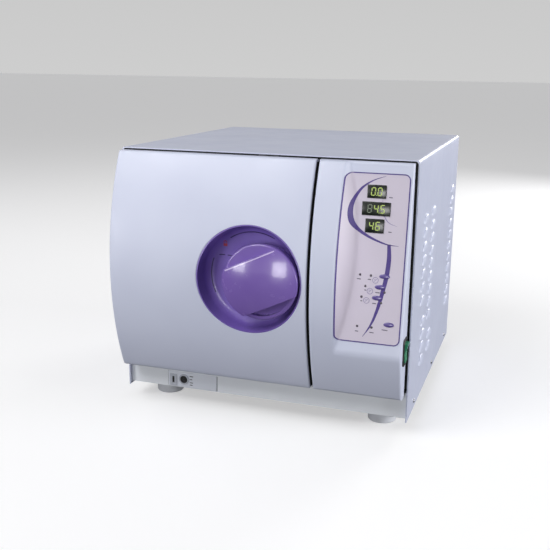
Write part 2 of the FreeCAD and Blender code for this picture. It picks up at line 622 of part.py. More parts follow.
def display_board():
    s0, s1 = up_slope(156.0), up_slope(380.0)
    board = box(162, 228, BOARD_Y, BOARD_Y + 1.6, s0, s1)
    switches = [box(x - 3, x + 3, BOARD_Y - 3.5, BOARD_Y, up_slope(z) - 3, up_slope(z) + 3)
                for x, z in KEYS]
    chips = [box(170, 190, BOARD_Y + 1.6, BOARD_Y + 5, s, s + 20) for s in (60, 130, 190)]
    socket = box(200, 222, BOARD_Y + 1.6, BOARD_Y + 10, 100, 112)
    return on_panel(fuse([board, socket] + switches + chips))


def key_cap(x, z):
    s = up_slope(z)
    cap = key_shape(x, s, -1.6, 4.0)
    cap = cap.makeFillet(0.7, [e for e in cap.Edges if e.BoundBox.YMax < -1.5])
    stem = rod_y(4.0, BOARD_Y - 3.5 - KEY_TRAVEL - 0.15, x, s, 2.4)
    return on_panel(fuse([cap, stem]))


def indicator_lamps():
    lamps = []
    for x, z in LAMPS:
        s = up_slope(z)
        lamp = fuse([rod_y(0, BOARD_Y, x, s, LAMP_R), Part.makeSphere(LAMP_R, V(x, 0, s))])
        lamps.append(on_panel(lamp))
    return group(lamps)


def switch_bezel():
    face, y, z = FASCIA_X1, ROCKER.y, ROCKER.z
    rim = rounded(box(face, face + 2.2, y - BEZEL_Y - 2.1, y + BEZEL_Y + 2.1, z - BEZEL_Z - 2.1,
                      z + BEZEL_Z + 2.1), 4.0, (1, 0, 0))
    body = box(face - 22, face, y - BEZEL_Y, y + BEZEL_Y, z - BEZEL_Z, z + BEZEL_Z)
    pocket = box(face - 19, face + 5, y - 10.2, y + 10.2, z - 17.2, z + 17.2)
    tabs = [box(face - 32, face - 22, y - 3, y + 3, z + d - 0.5, z + d + 0.5)
            for d in (-8.0, 0.0, 8.0)]
    pivots = [rod_y(y + s, y + s + 3.0, ROCKER.x, z, 1.5) for s in (-10.5, 7.5)]
    return fuse([fuse([rim, body]).cut(pocket)] + tabs + pivots)


def power_rocker():
    half, front, dip, back = 14.4, 8.0, 5.4, -3.0
    points = [V(back, -9.9, -half), V(front, -9.9, -half), V(dip, -9.9, 0),
              V(front, -9.9, half), V(back, -9.9, half)]
    body = prism(points, (0, 19.8, 0)).common(rod_y(-20, 20, 0, 0, ROCKER_R))
    body = body.cut(rod_y(-20, 20, 0, 0, 1.55))
    body.rotate(V(0, 0, 0), V(0, 1, 0), ROCKER_REST)
    body.translate(ROCKER)
    return body


# ---------------------------------------------------------------- service plate

def port_box(margin, y0, y1):
    w, h = PORT_W / 2 + margin, PORT_H / 2 + margin
    return box(PORT_X - w, PORT_X + w, y0, y1, PORT_Z - h, PORT_Z + h)


def service_plate():
    front = PAN_FRONT - 1.8
    plate = rounded(box(SERVICE_X0, SERVICE_X1, front, PAN_FRONT, SERVICE_Z0, SERVICE_Z1), 4.0,
                    (0, 1, 0))
    return plate.cut(group([rod_y(front - 1, PAN_FRONT + 1, *DRAIN, 6.6),
                            port_box(0.1, front - 1, PAN_FRONT + 1)]))


def data_port():
    y = PAN_FRONT
    frame = rounded(port_box(0.0, y - 2.8, y), 2.5, (0, 1, 0))
    slot = box(PORT_X - 1.95, PORT_X + 1.95, y - 4, y + 6.5, PORT_Z - 5.7, PORT_Z + 5.7)
    neck = box(PORT_X - 1.95, PORT_X + 1.95, y - 0.1, y + PAN + 0.1, PORT_Z - 6.3, PORT_Z + 6.3)
    body = box(PORT_X - 3.5, PORT_X + 3.5, y + PAN, y + 11.5, PORT_Z - 7, PORT_Z + 7)
    return fuse([frame, neck, body]).cut(slot)


def drain_coupling():
    y = PAN_FRONT - 1.8
    ring = rod_y(y - 2.1, y, *DRAIN, 9.2)
    body = rod_y(y, y + 14.3, *DRAIN, 6.5)
    socket = rod_y(y - 5, y + 9, *DRAIN, 5.0)
    core = rod_y(y + 2, y + 9, *DRAIN, 1.8)
    return fuse([fuse([ring, body]).cut(socket), core])


# ---------------------------------------------------------------- chamber

def head_profile(r, end):
    """Edges of half a vessel section: straight side, then the dished end."""
    y0 = BULK_Y0
    a, b = V(CX + r, y0, CZ), V(CX + r, CH_STRAIGHT, CZ)
    rise = end - CH_STRAIGHT
    m, t = V(CX + 0.7 * r, CH_STRAIGHT + 0.62 * rise, CZ), V(CX, end, CZ)
    return [Part.LineSegment(a, b).toShape(), Part.Arc(b, m, t).toShape()], a, t


def chamber_solid(r, end):
    edges, a, t = head_profile(r, end)
    foot = V(CX, a.y, CZ)
    edges += [Part.LineSegment(t, foot).toShape(), Part.LineSegment(foot, a).toShape()]
    return Part.Face(Part.Wire(edges)).revolve(V(CX, 0, CZ), V(0, 1, 0), 360)


def chamber_vessel():
    inner = chamber_solid(CH_R, CH_END - CH_T)
    nozzles = [rod_y(360, NOZZLE_END, x, z, 8) for x, z in NOZZLES]
    bores = [rod_y(340, NOZZLE_END + 1, x, z, 3) for x, z in NOZZLES]
    body = fuse([chamber_solid(CH_R + CH_T, CH_END)] + nozzles)
    return body.cut(inner).cut(group(bores))


def flange_bolt_places():
    angles = [math.radians(22.5 + 45 * k) for k in range(8)]
    return [(CX + 127.5 * math.cos(a), CZ + 127.5 * math.sin(a)) for a in angles]


def chamber_flange():
    ring = rod_y(FLANGE_Y, BULK_Y0, CX, CZ, FLANGE_R).cut(rod_y(0, 40, CX, CZ, CH_R))
    lugs = [rod_y(FLANGE_Y + 3, BULK_Y0, x, z, 7.0) for x, z in flange_bolt_places()]
    bores = [rod_y(0, 40, x, z, 2.5) for x, z in flange_bolt_places()]
    lugs = [lug.cut(rod_y(0, 40, CX, CZ, CH_R)) for lug in lugs]
    counter = [rod_y(FLANGE_Y - 1, FLANGE_Y + 5.5, x, z, 4.6) for x, z in flange_bolt_places()]
    return fuse([ring] + lugs).cut(group(bores + counter))


def flange_bolts():
    return group([fuse([rod_y(FLANGE_Y + 1, FLANGE_Y + 5.5, x, z, 4.4),
                        rod_y(FLANGE_Y + 5.5, BULK_Y1 + 2, x, z, 2.45),
                        rod_y(BULK_Y1, BULK_Y1 + 4, x, z, 4.0)])
                  for x, z in flange_bolt_places()])


def heater_bands():
    r0, r1, width = CH_R + CH_T, CH_R + CH_T + 3.5, 70.0
    bands = []
    for y in (50.0, 150.0, 250.0):
        ring = rod_y(y, y + width, CX, CZ, r1).cut(rod_y(y - 1, y + width + 1, CX, CZ, r0))
        clamp = box(CX - 8, CX + 8, y + 20, y + 50, CZ - r1 - 2.4, CZ - r0 - 1.5)
        bands.append(fuse([ring, clamp.cut(rod_y(0, 400, CX, CZ, r0 + 1))]))
    return group(bands)


def insulation_blanket():
    return rod_y(34, 340, CX, CZ, BLANKET_R1).cut(rod_y(30, 400, CX, CZ, BLANKET_R0))


def chamber_saddles():
    result = []
    for y in (80.0, 290.0):
        plate = box(CX - 100, CX + 100, y, y + 3, PAN_Z + PAN, CZ - 80)
        foot = box(CX - 100, CX + 100, y, y + 25, PAN_Z + PAN, PAN_Z + PAN + 3)
        window = rounded(box(CX - 60, CX + 60, y - 1, y + 4, 25, 62), 10, (0, 1, 0))
        pipe_way = rod_y(y - 1, y + 26, *DRAIN, 6.0)
        result.append(fuse([plate, foot]).cut(rod_y(0, 500, CX, CZ, BLANKET_R1 + 0.2)).cut(
            group([window, pipe_way])))
    return group(result)


def tray_rack():
    half, t = TRAY_W / 2 + 1.5, 1.5
    parts = []
    for s in (-1, 1):
        inner, outer = sorted((s * half, s * (half + t)))
        side = box(CX + inner, CX + outer, RACK_Y0, RACK_Y1, CZ - 62, CZ + 62)
        window = [box(CX + inner - 1, CX + outer + 1, y, y + 60, CZ - 40, CZ + 30)
                  for y in (RACK_Y0 + 30, RACK_Y0 + 115, RACK_Y0 + 200)]
        parts.append(side.cut(group(window)))
        for level in TRAY_LEVELS:
            a, b = sorted((s * half, s * (half - 9)))
            parts.append(box(CX + a, CX + b, RACK_Y0, RACK_Y1, CZ + level - t, CZ + level))
        foot = sorted((s * (half + t), s * (half - 30)))
        parts.append(box(CX + foot[0], CX + foot[1], RACK_Y0, RACK_Y1, CZ - 62 - t, CZ - 62))
        skid = sorted((s * (half - 30), s * (half - 30 + t)))
        parts.append(box(CX + skid[0], CX + skid[1], RACK_Y0, RACK_Y1, CZ - 98, CZ - 62))
    for y in (RACK_Y0, RACK_Y1 - 8):
        parts.append(box(CX - half, CX + half, y, y + 8, CZ - 62 - t, CZ - 62))
        parts.append(box(CX - half - t, CX + half + t, y, y + 8, CZ + 62, CZ + 62 + t))
    return fuse(parts)


def trays():
    result = []
    for level in TRAY_LEVELS:
        z = CZ + level
        x0, x1 = CX - TRAY_W / 2, CX + TRAY_W / 2
        outer = rounded(box(x0, x1, RACK_Y0 + 9, RACK_Y1 - 9, z, z + TRAY_H), 8, (0, 0, 1))
        inner = rounded(box(x0 + 1, x1 - 1, RACK_Y0 + 10, RACK_Y1 - 10, z + 1, z + 30), 7,
                        (0, 0, 1))
        slots = [box(x - 14, x + 14, y, y + 6, z - 1, z + 3)
                 for x in (CX - 54, CX - 18, CX + 18, CX + 54)
                 for y in range(int(RACK_Y0) + 30, int(RACK_Y1) - 30, 24)]
        result.append(outer.cut(inner).cut(group(slots)))
    return group(result)


# ---------------------------------------------------------------- machinery

def water_tank():
    x0, x1, y0, y1, z0, z1 = -225.0, 84.0, 60.0, 330.0, 366.0, 402.0
    outer = rounded(box(x0, x1, y0, y1, z0, z1), 8, (0, 0, 1))
    inner = rounded(box(x0 + 3, x1 - 3, y0 + 3, y1 - 3, z0 + 3, z1 - 3), 6, (0, 0, 1))
    neck = rod_y(y1, y1 + 14, 40, 385, 9)
    return fuse([outer.cut(inner), neck]).cut(rod_y(y1 - 5, y1 + 20, 40, 385, 6))


def steam_generator():
    x, y, z0, z1, r = 165.0, 330.0, 60.0, 205.0, 40.0
    body = rod_z(z0, z1, x, y, r)
    body = body.makeFillet(8.0, [e for e in body.Edges if len(e.Vertexes) == 1])
    flange = rod_z(z0 + 20, z0 + 26, x, y, r + 10)
    outlet = rod_z(z1, z1 + 12, x, y, 8)
    legs = [rod_z(PAN_Z + PAN, z0 + 20, x + (r + 4) * math.cos(a), y + (r + 4) * math.sin(a), 4)
            for a in (math.radians(30 + 120 * k) for k in range(3))]
    terminals = [rod_z(z0 - 12, z0, x + d, y, 3) for d in (-15, 0, 15)]
    return fuse([body, flange, outlet] + legs + terminals)


def vacuum_pump():
    x, z = 160.0, 62.0
    motor = rod_y(60, 150, x, z, 34)
    cap = rod_y(52, 60, x, z, 26)
    head = rounded(box(x - 38, x + 38, 150, 205, z - 34, z + 40), 6, (0, 1, 0))
    blocks = [box(x - 44, x + 44, y, y + 12, PAN_Z + PAN, z - 30) for y in (75.0, 130.0, 180.0)]
    ports = [rod_z(z + 40, z + 56, x + d, 178, 5) for d in (-20, 20)]
    return fuse([motor, cap, head] + blocks + ports)


def water_pump():
    x, y, z = 128.0, 240.0, 40.0
    motor = rod_y(y - 30, y + 26, x, z, 18)
    head = rounded(box(x - 20, x + 20, y + 26, y + 44, z - 20, z + 20), 5, (0, 1, 0))
    base = box(x - 22, x + 22, y - 20, y + 20, PAN_Z + PAN, z - 15)
    return fuse([motor, head, base])


def valve_manifold():
    x0, y0, z0 = 102.0, 90.0, 140.0
    block = box(x0, x0 + 30, y0, y0 + 150, z0, z0 + 26)
    coils = []
    for k in range(4):
        y = y0 + 20 + 36 * k
        coils.append(rod_z(z0 + 26, z0 + 34, x0 + 15, y, 8))
        coils.append(rounded(box(x0 + 1, x0 + 29, y - 14, y + 14, z0 + 34, z0 + 66), 3, (0, 0, 1)))
        coils.append(rod_z(z0 + 66, z0 + 71, x0 + 15, y, 6))
    bracket = box(PART_X + 1.5, x0, y0, y0 + 150, z0 + 4, z0 + 8)
    return fuse([block, bracket] + coils)


def control_board():
    x0, y0, z0 = PART_X + 1.5, 60.0, 228.0
    board = box(x0 + 10, x0 + 11.6, y0, y0 + 190, z0, z0 + 150)
    posts = [rod_x(x0, x0 + 10, y, z, 3) for y in (y0 + 6, y0 + 184) for z in (z0 + 6, z0 + 144)]
    relays = [box(x0 + 11.6, x0 + 27, y0 + 20 + 24 * k, y0 + 40 + 24 * k, z0 + 14, z0 + 44)
              for k in range(6)]
    chips = [box(x0 + 11.6, x0 + 14, y0 + 30 + 60 * k, y0 + 60 + 60 * k, z0 + 70, z0 + 95)
             for k in range(2)]
    caps = [rod_x(x0 + 11.6, x0 + 34, y0 + 60 + 26 * k, z0 + 124, 9) for k in range(4)]
    return fuse([board] + posts + relays + chips + caps)


def power_supply():
    case = box(182, 232, 300, 460, 250, 350)
    vents = [box(181, 186, y, y + 4, 262, 338) for y in range(312, 450, 12)]
    lugs = [box(182, 184, y, y + 14, 350, 362) for y in (304.0, 440.0)]
    straps = [box(182, 184, 460, REAR_Y, z, z + 12) for z in (256.0, 332.0)]
    return fuse([case.cut(group(vents))] + lugs + straps)


def condenser_coil():
    x0, x1, y = -170.0, 10.0, 424.0
    rows, pitch, z0 = 7, 22.0, 184.0
    points = []
    for k in range(rows):
        z = z0 + pitch * k
        ends = (x0, x1) if k % 2 == 0 else (x1, x0)
        points += [(ends[0], y, z), (ends[1], y, z)]
    coil = pipe(points, 4.0, pitch / 2 - 0.01)
    fins = []
    for x in range(-150, -9, 14):
        fins.append(box(x, x + 1, y - 12, y + 12, z0 - 12, z0 + pitch * (rows - 1) + 12))
    return fuse([coil] + fins)


def fan_screw_places():
    d = 52.5
    return [(FAN_X + a * d, FAN_Z + b * d) for a in (-1, 1) for b in (-1, 1)]


def fan_frame():
    y0, y1 = REAR_Y - 25.0, REAR_Y
    frame = rounded(box(FAN_X - FAN_HALF, FAN_X + FAN_HALF, y0, y1, FAN_Z - FAN_HALF,
                        FAN_Z + FAN_HALF), 5, (0, 1, 0))
    frame = frame.cut(rod_y(y0 - 1, y1 + 1, FAN_X, FAN_Z, 56))
    waist = box(FAN_X - 80, FAN_X + 80, y0 + 5, y1 - 5, FAN_Z - 80, FAN_Z + 80).cut(
        rod_y(y0, y1, FAN_X, FAN_Z, 59))
    hub = rod_y(y0, y0 + 4, FAN_X, FAN_Z, 18)
    arms = []
    for k in range(4):
        arm = box(-58, 58, y0, y0 + 4, -2.5, 2.5)
        arm.rotate(V(0, 0, 0), V(0, 1, 0), 45.0 * (2 * k + 1))
        arm.translate(V(FAN_X, 0, FAN_Z))
        arms.append(arm.common(rod_y(y0, y1, FAN_X, FAN_Z, 58)))
    axle = rod_y(y0 + 4, y1 - 6, FAN_X, FAN_Z, 1.5)
    holes = [rod_y(y0 - 1, y1 + 1, x, z, 2.2) for x, z in fan_screw_places()]
    return fuse([frame.cut(waist), hub, axle] + arms[:2]).cut(group(holes))


def fan_rotor():
    y0, y1 = REAR_Y - 20.0, REAR_Y - 4.0
    hub = rod_y(y0, y1, FAN_X, FAN_Z, 18)
    blades = []
    for k in range(7):
        blade = box(15, 52, -1.0, 1.0, -13, 13)
        blade.rotate(V(0, 0, 0), V(1, 0, 0), 38)
        blade.translate(V(0, (y0 + y1) / 2, 0))
        blade = blade.common(rod_y(y0 + 0.5, y1 - 0.5, 0, 0, 53))
        blade.rotate(V(0, 0, 0), V(0, 1, 0), 360.0 * k / 7)
        blade.translate(V(FAN_X, 0, FAN_Z))
        blades.append(blade)
    return fuse([hub] + blades).cut(rod_y(y0 - 1, REAR_Y - 5.6, FAN_X, FAN_Z, 1.55))


def fan_guard():
    y, wire = REAR_Y + PAN + 2.2, 1.1
    rings = [Part.makeTorus(r, wire, V(FAN_X, y, FAN_Z), V(0, 1, 0)) for r in (14, 26, 38, 50, 58)]
    spokes = []
    for k in range(4):
        spoke = rod_x(-58, 58, y - 0.6, 0, wire)
        spoke.rotate(V(0, y, 0), V(0, 1, 0), 45.0 * k)
        spoke.translate(V(FAN_X, 0, FAN_Z))
        spokes.append(spoke)
    eyes = [rod_y(REAR_Y + PAN, y + wire, x, z, 5.0) for x, z in fan_screw_places()]
    tabs = []
    for x, z in fan_screw_places():
        tabs.append(wire_between((x, y, z), (FAN_X + (x - FAN_X) * 0.76, y,
                                              FAN_Z + (z - FAN_Z) * 0.76), wire))
    holes = [rod_y(REAR_Y, y + 3, x, z, 2.2) for x, z in fan_screw_places()]
    return fuse(rings + spokes + eyes + tabs).cut(group(holes))


def edge_screw_places():
    half = INNER_W / 2 - 8
    return [(s * half, z) for s in (-1, 1) for z in (60.0, 206.0, 380.0)]


def rear_screws():
    fan = [screw(x, REAR_Y + PAN + 3.3, z, (0, 1, 0), 3.2, 2.0, 10) for x, z in fan_screw_places()]
    edge = [screw(x, REAR_Y + PAN, z, (0, 1, 0), 3.2, 2.0, PAN) for x, z in edge_screw_places()]
    return fan + edge


def screws():
    return group(cover_screws() + rear_screws())


def safety_valve():
    x, z = SAFETY
    y = REAR_Y + PAN
    nut = prism([V(x + 15 * math.cos(a), y, z + 15 * math.sin(a))
                 for a in (math.radians(60 * k) for k in range(6))], (0, 6, 0))
    body = rod_y(y - 30, y, x, z, 10.5)
    bonnet = rod_y(y + 6, y + 16, x, z, 11)
    tail = rod_y(y - 44, y - 30, x, z, 6)
    hole = rod_y(y + 8, y + 20, x, z, 4.1)
    return fuse([nut, body, bonnet, tail]).cut(hole)


def valve_pull():
    x, z = SAFETY
    y = REAR_Y + PAN + 16
    stem = rod_y(y - 6, y + 1, x, z, 4.0)
    cap = rod_y(y + 0.5, y + 12.5, x, z, 9.0)
    grooves = [rod_y(y + 2, y + 14, x + 9.6 * math.cos(a), z + 9.6 * math.sin(a), 1.2)
               for a in (2 * math.pi * k / 16 for k in range(16))]
    return fuse([stem, cap]).cut(group(grooves))


def hose_barb():
    x, z = BARB
    y = REAR_Y + PAN
    parts = [rod_y(y, y + 4, x, z, 11), rod_y(y - 20, y, x, z, 7.5), rod_y(y + 4, y + 24, x, z, 4)]
    for k in range(3):
        parts.append(Part.makeCone(5.4, 4.0, 5, V(x, y + 7 + 5.5 * k, z), V(0, 1, 0)))
    return fuse(parts).cut(rod_y(y - 25, y + 30, x, z, 2.5))


def mains_inlet():
    x, z = INLET
    y = REAR_Y + PAN
    plate = rounded(box(x - 25, x + 25, y, y + 2.5, z - 12, z + 12), 4, (0, 1, 0))
    body = box(x - 13.8, x + 13.8, y - 24, y, z - 10.3, z + 10.3)
    socket = rounded(box(x - 12.2, x + 12.2, y - 15, y + 4, z - 8.2, z + 8.2), 3, (0, 1, 0))
    pins = [box(x + dx - 1, x + dx + 1, y - 15, y - 3, z + dz - 2.2, z + dz + 2.2)
            for dx, dz in ((-7.0, -1.5), (0.0, 2.0), (7.0, -1.5))]
    return fuse([fuse([plate, body]).cut(socket)] + pins)


def nozzle_elbow(k):
    """Threaded block that turns a nozzle sideways towards the pipes."""
    x, z = NOZZLES[k]
    return box(x - 6, x + 6, NOZZLE_END, NOZZLE_END + 12, z - 6, z + 6)


def steam_pipe():
    x, z = NOZZLES[0]
    y = NOZZLE_END + 6
    return pipe([(165, 330, 217), (165, 330, z), (165, y, z), (x + 6, y, z)], PIPE_R, BEND)


def drain_pipe():
    x, z = NOZZLES[1]
    y = NOZZLE_END + 6
    return pipe([(x + 6, y, z), (BARB[0], y, z), (BARB[0], y, BARB[1]),
                 (BARB[0], REAR_Y + PAN - 20.1, BARB[1])], PIPE_R, BEND)


def tank_pipe():
    x, z = DRAIN
    return pipe([(x, PAN_FRONT + 12.5, z), (x, 200, z), (112, 200, z), (112, 200, 34)], PIPE_R, 8.0)


def pipework():
    return group([nozzle_elbow(k) for k in range(3)]
                 + [steam_pipe(), drain_pipe(), tank_pipe(), hose_barb()])


def export(name, shape):
    moved = shape.copy()
    moved.translate(V(0, -MID_Y, FOOT_DROP))
    for solid in moved.Solids:
        if not solid.isValid() or solid.Volume <= 0:
            raise ValueError("bad solid in " + name)
    Part.makeCompound(moved.Solids).exportStep("parts/" + name + ".step")


def main():
    os.makedirs("parts", exist_ok=True)
    pieces = {
        "wrap_cover": wrap_cover, "screws": screws, "base_pan": base_pan,
        "feet": feet, "front_bulkhead": front_bulkhead, "partition": partition,
        "rear_panel": rear_panel, "door_cover": door_cover, "handle_well": handle_well,
        "door_knob": door_knob, "lock_spindle": lock_spindle, "lock_pinion": lock_pinion,
        "lock_bolt_upper": lambda: lock_bolt(1), "lock_bolt_lower": lambda: lock_bolt(-1),
        "bolt_guides": bolt_guides, "lock_keepers": lock_keepers,
        "door_backplate": door_backplate, "plate_stud": plate_stud,
        "pressure_plate": pressure_plate, "door_seal": door_seal,
        "hinge_brackets": hinge_brackets, "hinge_leaves": hinge_leaves,
        "hinge_pins": hinge_pins, "fascia": fascia, "panel_overlay": panel_overlay,
        "display_modules": display_modules, "display_board": display_board,
        "indicator_lamps": indicator_lamps, "switch_bezel": switch_bezel,
        "power_rocker": power_rocker, "service_plate": service_plate, "data_port": data_port,
        "drain_coupling": drain_coupling, "chamber_vessel": chamber_vessel,
        "chamber_flange": chamber_flange, "flange_bolts": flange_bolts,
        "heater_bands": heater_bands, "insulation_blanket": insulation_blanket,
        "chamber_saddles": chamber_saddles, "tray_rack": tray_rack, "trays": trays,
        "water_tank": water_tank, "steam_generator": steam_generator,
        "vacuum_pump": vacuum_pump, "water_pump": water_pump,
        "valve_manifold": valve_manifold, "control_board": control_board,
        "power_supply": power_supply, "condenser_coil": condenser_coil,
        "fan_frame": fan_frame, "fan_rotor": fan_rotor, "fan_guard": fan_guard,
        "safety_valve": safety_valve, "valve_pull": valve_pull,
        "mains_inlet": mains_inlet, "pipework": pipework,
    }
    for k, place in enumerate(KEYS):
        pieces["key_%d" % (k + 1)] = lambda place=place: key_cap(*place)
    for name, build in pieces.items():
        export(name, build())


main()
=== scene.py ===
import math

import bmesh
import bpy
import numpy as np
from mathutils import Matrix, Vector


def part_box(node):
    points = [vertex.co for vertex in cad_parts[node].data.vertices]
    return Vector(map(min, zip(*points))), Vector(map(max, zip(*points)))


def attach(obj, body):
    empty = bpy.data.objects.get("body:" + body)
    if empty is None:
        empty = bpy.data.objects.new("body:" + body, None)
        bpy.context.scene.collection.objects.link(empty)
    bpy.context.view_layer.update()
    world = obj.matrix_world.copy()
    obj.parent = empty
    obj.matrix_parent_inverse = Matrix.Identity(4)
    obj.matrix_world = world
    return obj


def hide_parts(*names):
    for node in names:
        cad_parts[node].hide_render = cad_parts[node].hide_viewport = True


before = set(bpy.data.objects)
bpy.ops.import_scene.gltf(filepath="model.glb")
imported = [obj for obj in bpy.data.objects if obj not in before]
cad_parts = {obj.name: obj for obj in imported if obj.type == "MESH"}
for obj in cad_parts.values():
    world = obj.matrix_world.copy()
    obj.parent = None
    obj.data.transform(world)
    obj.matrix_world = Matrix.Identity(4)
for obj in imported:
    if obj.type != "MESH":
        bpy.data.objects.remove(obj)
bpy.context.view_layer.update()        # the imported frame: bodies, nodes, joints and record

bl_info = {
    "name": "Benchtop autoclave",
    "version": (1, 0, 0),
    "blender": (4, 5, 0),
    "location": "3D View > Sidebar > Autoclave",
    "description": "Builds the shells, controls, prints and finishes of a benchtop autoclave",
    "category": "Object",
}

# Drawing frame: millimetres, Y back from the cover's front edge, Z up from its lower edge;
# the scene's origin is MID_Y behind that edge and DROP below it, on the floor
MID_Y, DROP = 216.0, 23.7
ARC_R, ARC_Y, ARC_Z = 428.5, 369.0, 219.0      # bulged front
FRONT_Z0, FRONT_Z1, FRONT_BACK = 45.0, 407.0, -4.0
COVER_W, COVER_D, COVER_H, SHEET, HEM, BEND = 484.0, 486.0, 411.0, 1.2, 2.0, 5.0
COVER_SCREWS_Y = (62.0, 258.0, 432.0)
DOOR_X0, DOOR_X1 = -240.0, 91.0
FASCIA_X0, FASCIA_X1 = 95.0, 236.5
RECESS_X, RECESS_TOP, RECESS_SLOPE, RECESS_LEAN = 135.4, 391.0, 0.8, 0.0115
PANEL_Y, PANEL_Z, TILT = -48.0, 118.0, math.atan(0.133)
WELL_X, WELL_Z, WELL_R, WELL_FLOOR, WELL_DRAFT = -2.4, 222.0, 78.0, -28.0, 0.175
KNOB_X, KNOB_Z, KNOB_R, KNOB_BAND, KNOB_TURN = 18.5, 222.0, 60.5, 39.0, 25.0
KNOB_FRONT, KNOB_STEP, KNOB_BACK, KNOB_DOME = -77.0, -62.0, -31.0, 170.0
HINGE_Y, HINGES_Z = -25.0, (100.0, 342.0)
# middle x and z, width, height and figures of each window
DISPLAYS = ((183.6, 364.3, 28.4, 19.6, "0.0"), (184.2, 339.3, 42.6, 20.0, "84.5"),
            (183.4, 314.3, 28.2, 20.6, "46"))
KEYS = ((203.4, 241.2), (197.8, 225.0), (194.5, 208.6), (214.6, 170.4))
LAMPS = ((166.5, 241.1), (183.0, 241.1), (175.6, 224.8), (170.7, 208.3), (167.1, 163.9),
         (189.1, 163.9), (204.9, 217.7), (200.7, 201.5))
ROCKER = (233.8, -21.5, 125.0)                 # middle of the switch
DRAIN = (-141.0, 19.8)                         # middle x and z
BLANKET_IN, QUILT_RINGS = 124.3, 6             # inner radius, and how many sewn rings
SERVICE = (-170.5, -81.5, 5.8, 31.8)           # x and z of the plate's sides
PORT = (-160.6, 17.4, 13.3, 20.7)              # middle x and z, width, height
STRIP_Y, LAMP_R = 8.0, 2.1
EDGE_BEAD, RIM_Y = 1.4, -58.0                  # rounding of the door's hole, and its mean depth
DISH_WALL, DISH_FILLET, DISH_TOP = 2.1, 14.0, -60.0
LABEL_X1, LABEL_Z0, LABEL_Z1, LABEL_ROUND = 232.2, 139.6, 391.0, 9.0
FLOOR_SIZE, FLOOR_SHADE, FLOOR_GLOW = 60, 0.6, 0.5
LENS_MM, SENSOR_MM, ROLL_DEG = 55.16, 36.0, 0.70
CAMERA_PLACE = (0.4292, -1.445, 0.5695)
CAMERA_RIGHT, CAMERA_UP = (0.9493, 0.3143, 0.0), (-0.0768, 0.2319, 0.9697)


def at(x, y, z):
    """A point of the drawing frame as a place in the scene, in metres."""
    return Vector((x, y - MID_Y, z + DROP)) / 1000


def mm(value):
    """Millimetres as metres."""
    return value / 1000


def arc_y(z):
    """The bulged front's Y at height z."""
    return ARC_Y - np.sqrt(ARC_R ** 2 - (np.asarray(z, float) - ARC_Z) ** 2)


def panel_y(z):
    """Y of the tilted panel at height z."""
    return PANEL_Y + math.tan(TILT) * (np.asarray(z, float) - PANEL_Z)


def soft_min(a, b, k):
    """The lesser of two values, blended where they are within k of each other."""
    h = np.maximum(k - np.abs(a - b), 0) / k
    return np.minimum(a, b) - h * h * k / 4


def recess_left(z):
    """X of the recess's left edge, which leans a little."""
    return RECESS_X - RECESS_LEAN * (RECESS_TOP - np.asarray(z, float))


def fascia_y(x, z):
    """Front surface of the fascia: bulge, sloping wall and tilted panel, softly joined."""
    x, z = np.asarray(x, float), np.asarray(z, float)
    wall = arc_y(z) + (x - recess_left(z)) / RECESS_SLOPE
    return -soft_min(-arc_y(z), -soft_min(panel_y(z), wall, 5.0), 2.4)


# ---------------------------------------------------------------- materials

def linear(code):
    """sRGB hex to linear red, green, blue, alpha."""
    parts = [int(code[i:i + 2], 16) / 255 for i in (1, 3, 5)]
    return [c / 12.92 if c <= 0.04045 else ((c + 0.055) / 1.055) ** 2.4 for c in parts] + [1.0]


def add(tree, kind, settings=None, **links):
    """Add a node with its settings; a link is input name = output socket."""
    node = tree.nodes.new(kind)
    for key, value in (settings or {}).items():
        if key in node.inputs:
            node.inputs[key].default_value = value
        else:
            setattr(node, key, value)
    for key, socket in links.items():
        tree.links.new(socket, node.inputs[key.replace("_", " ")])
    return node


def start(name, color, roughness, metallic=0.0, **sockets):
    """A material with one Principled shader; sockets are set by their names."""
    material = bpy.data.materials.new(name)
    material.use_nodes = True
    tree = material.node_tree
    shader = tree.nodes["Principled BSDF"]
    values = {"Base Color": linear(color), "Roughness": roughness, "Metallic": metallic}
    values.update({k.replace("_", " "): v for k, v in sockets.items()})
    for key, value in values.items():
        shader.inputs[key].default_value = value
    material.diffuse_color = linear(color)
    return material, tree, shader


def place_of(tree, stretch=(1, 1, 1)):
    """Object coordinates, stretched along each axis."""
    coords = add(tree, "ShaderNodeTexCoord")
    return add(tree, "ShaderNodeMapping", {"Scale": stretch},
               Vector=coords.outputs["Object"]).outputs["Vector"]


def grain(tree, size_mm, detail=2.0, stretch=(1, 1, 1)):
    """Noise whose lumps are about size_mm across."""
    return add(tree, "ShaderNodeTexNoise", {"Scale": 1000 / size_mm, "Detail": detail},
               Vector=place_of(tree, stretch)).outputs["Fac"]


def vary(tree, shader, source, low, high, low_at=0.3, high_at=0.7, socket="Roughness"):
    """Let a socket run between two values as source runs between two levels."""
    span = add(tree, "ShaderNodeMapRange", {"From Min": low_at, "From Max": high_at,
                                            "To Min": low, "To Max": high}, Value=source)
    tree.links.new(span.outputs["Result"], shader.inputs[socket])


def tint(tree, shader, source, color_a, color_b, low=0.3, high=0.7):
    """Let the colour run from one to the other as source runs from low to high."""
    ramp = add(tree, "ShaderNodeValToRGB", {}, Fac=source)
    ramp.color_ramp.elements[0].position, ramp.color_ramp.elements[1].position = low, high
    ramp.color_ramp.elements[0].color = linear(color_a)
    ramp.color_ramp.elements[1].color = linear(color_b)
    tree.links.new(ramp.outputs["Color"], shader.inputs["Base Color"])


def bumpy(tree, shader, source, height_mm, strength=1.0):
    """Let source raise the surface by up to height_mm."""
    bump = add(tree, "ShaderNodeBump", {"Distance": mm(height_mm), "Strength": strength},
               Height=source)
    tree.links.new(bump.outputs["Normal"], shader.inputs["Normal"])


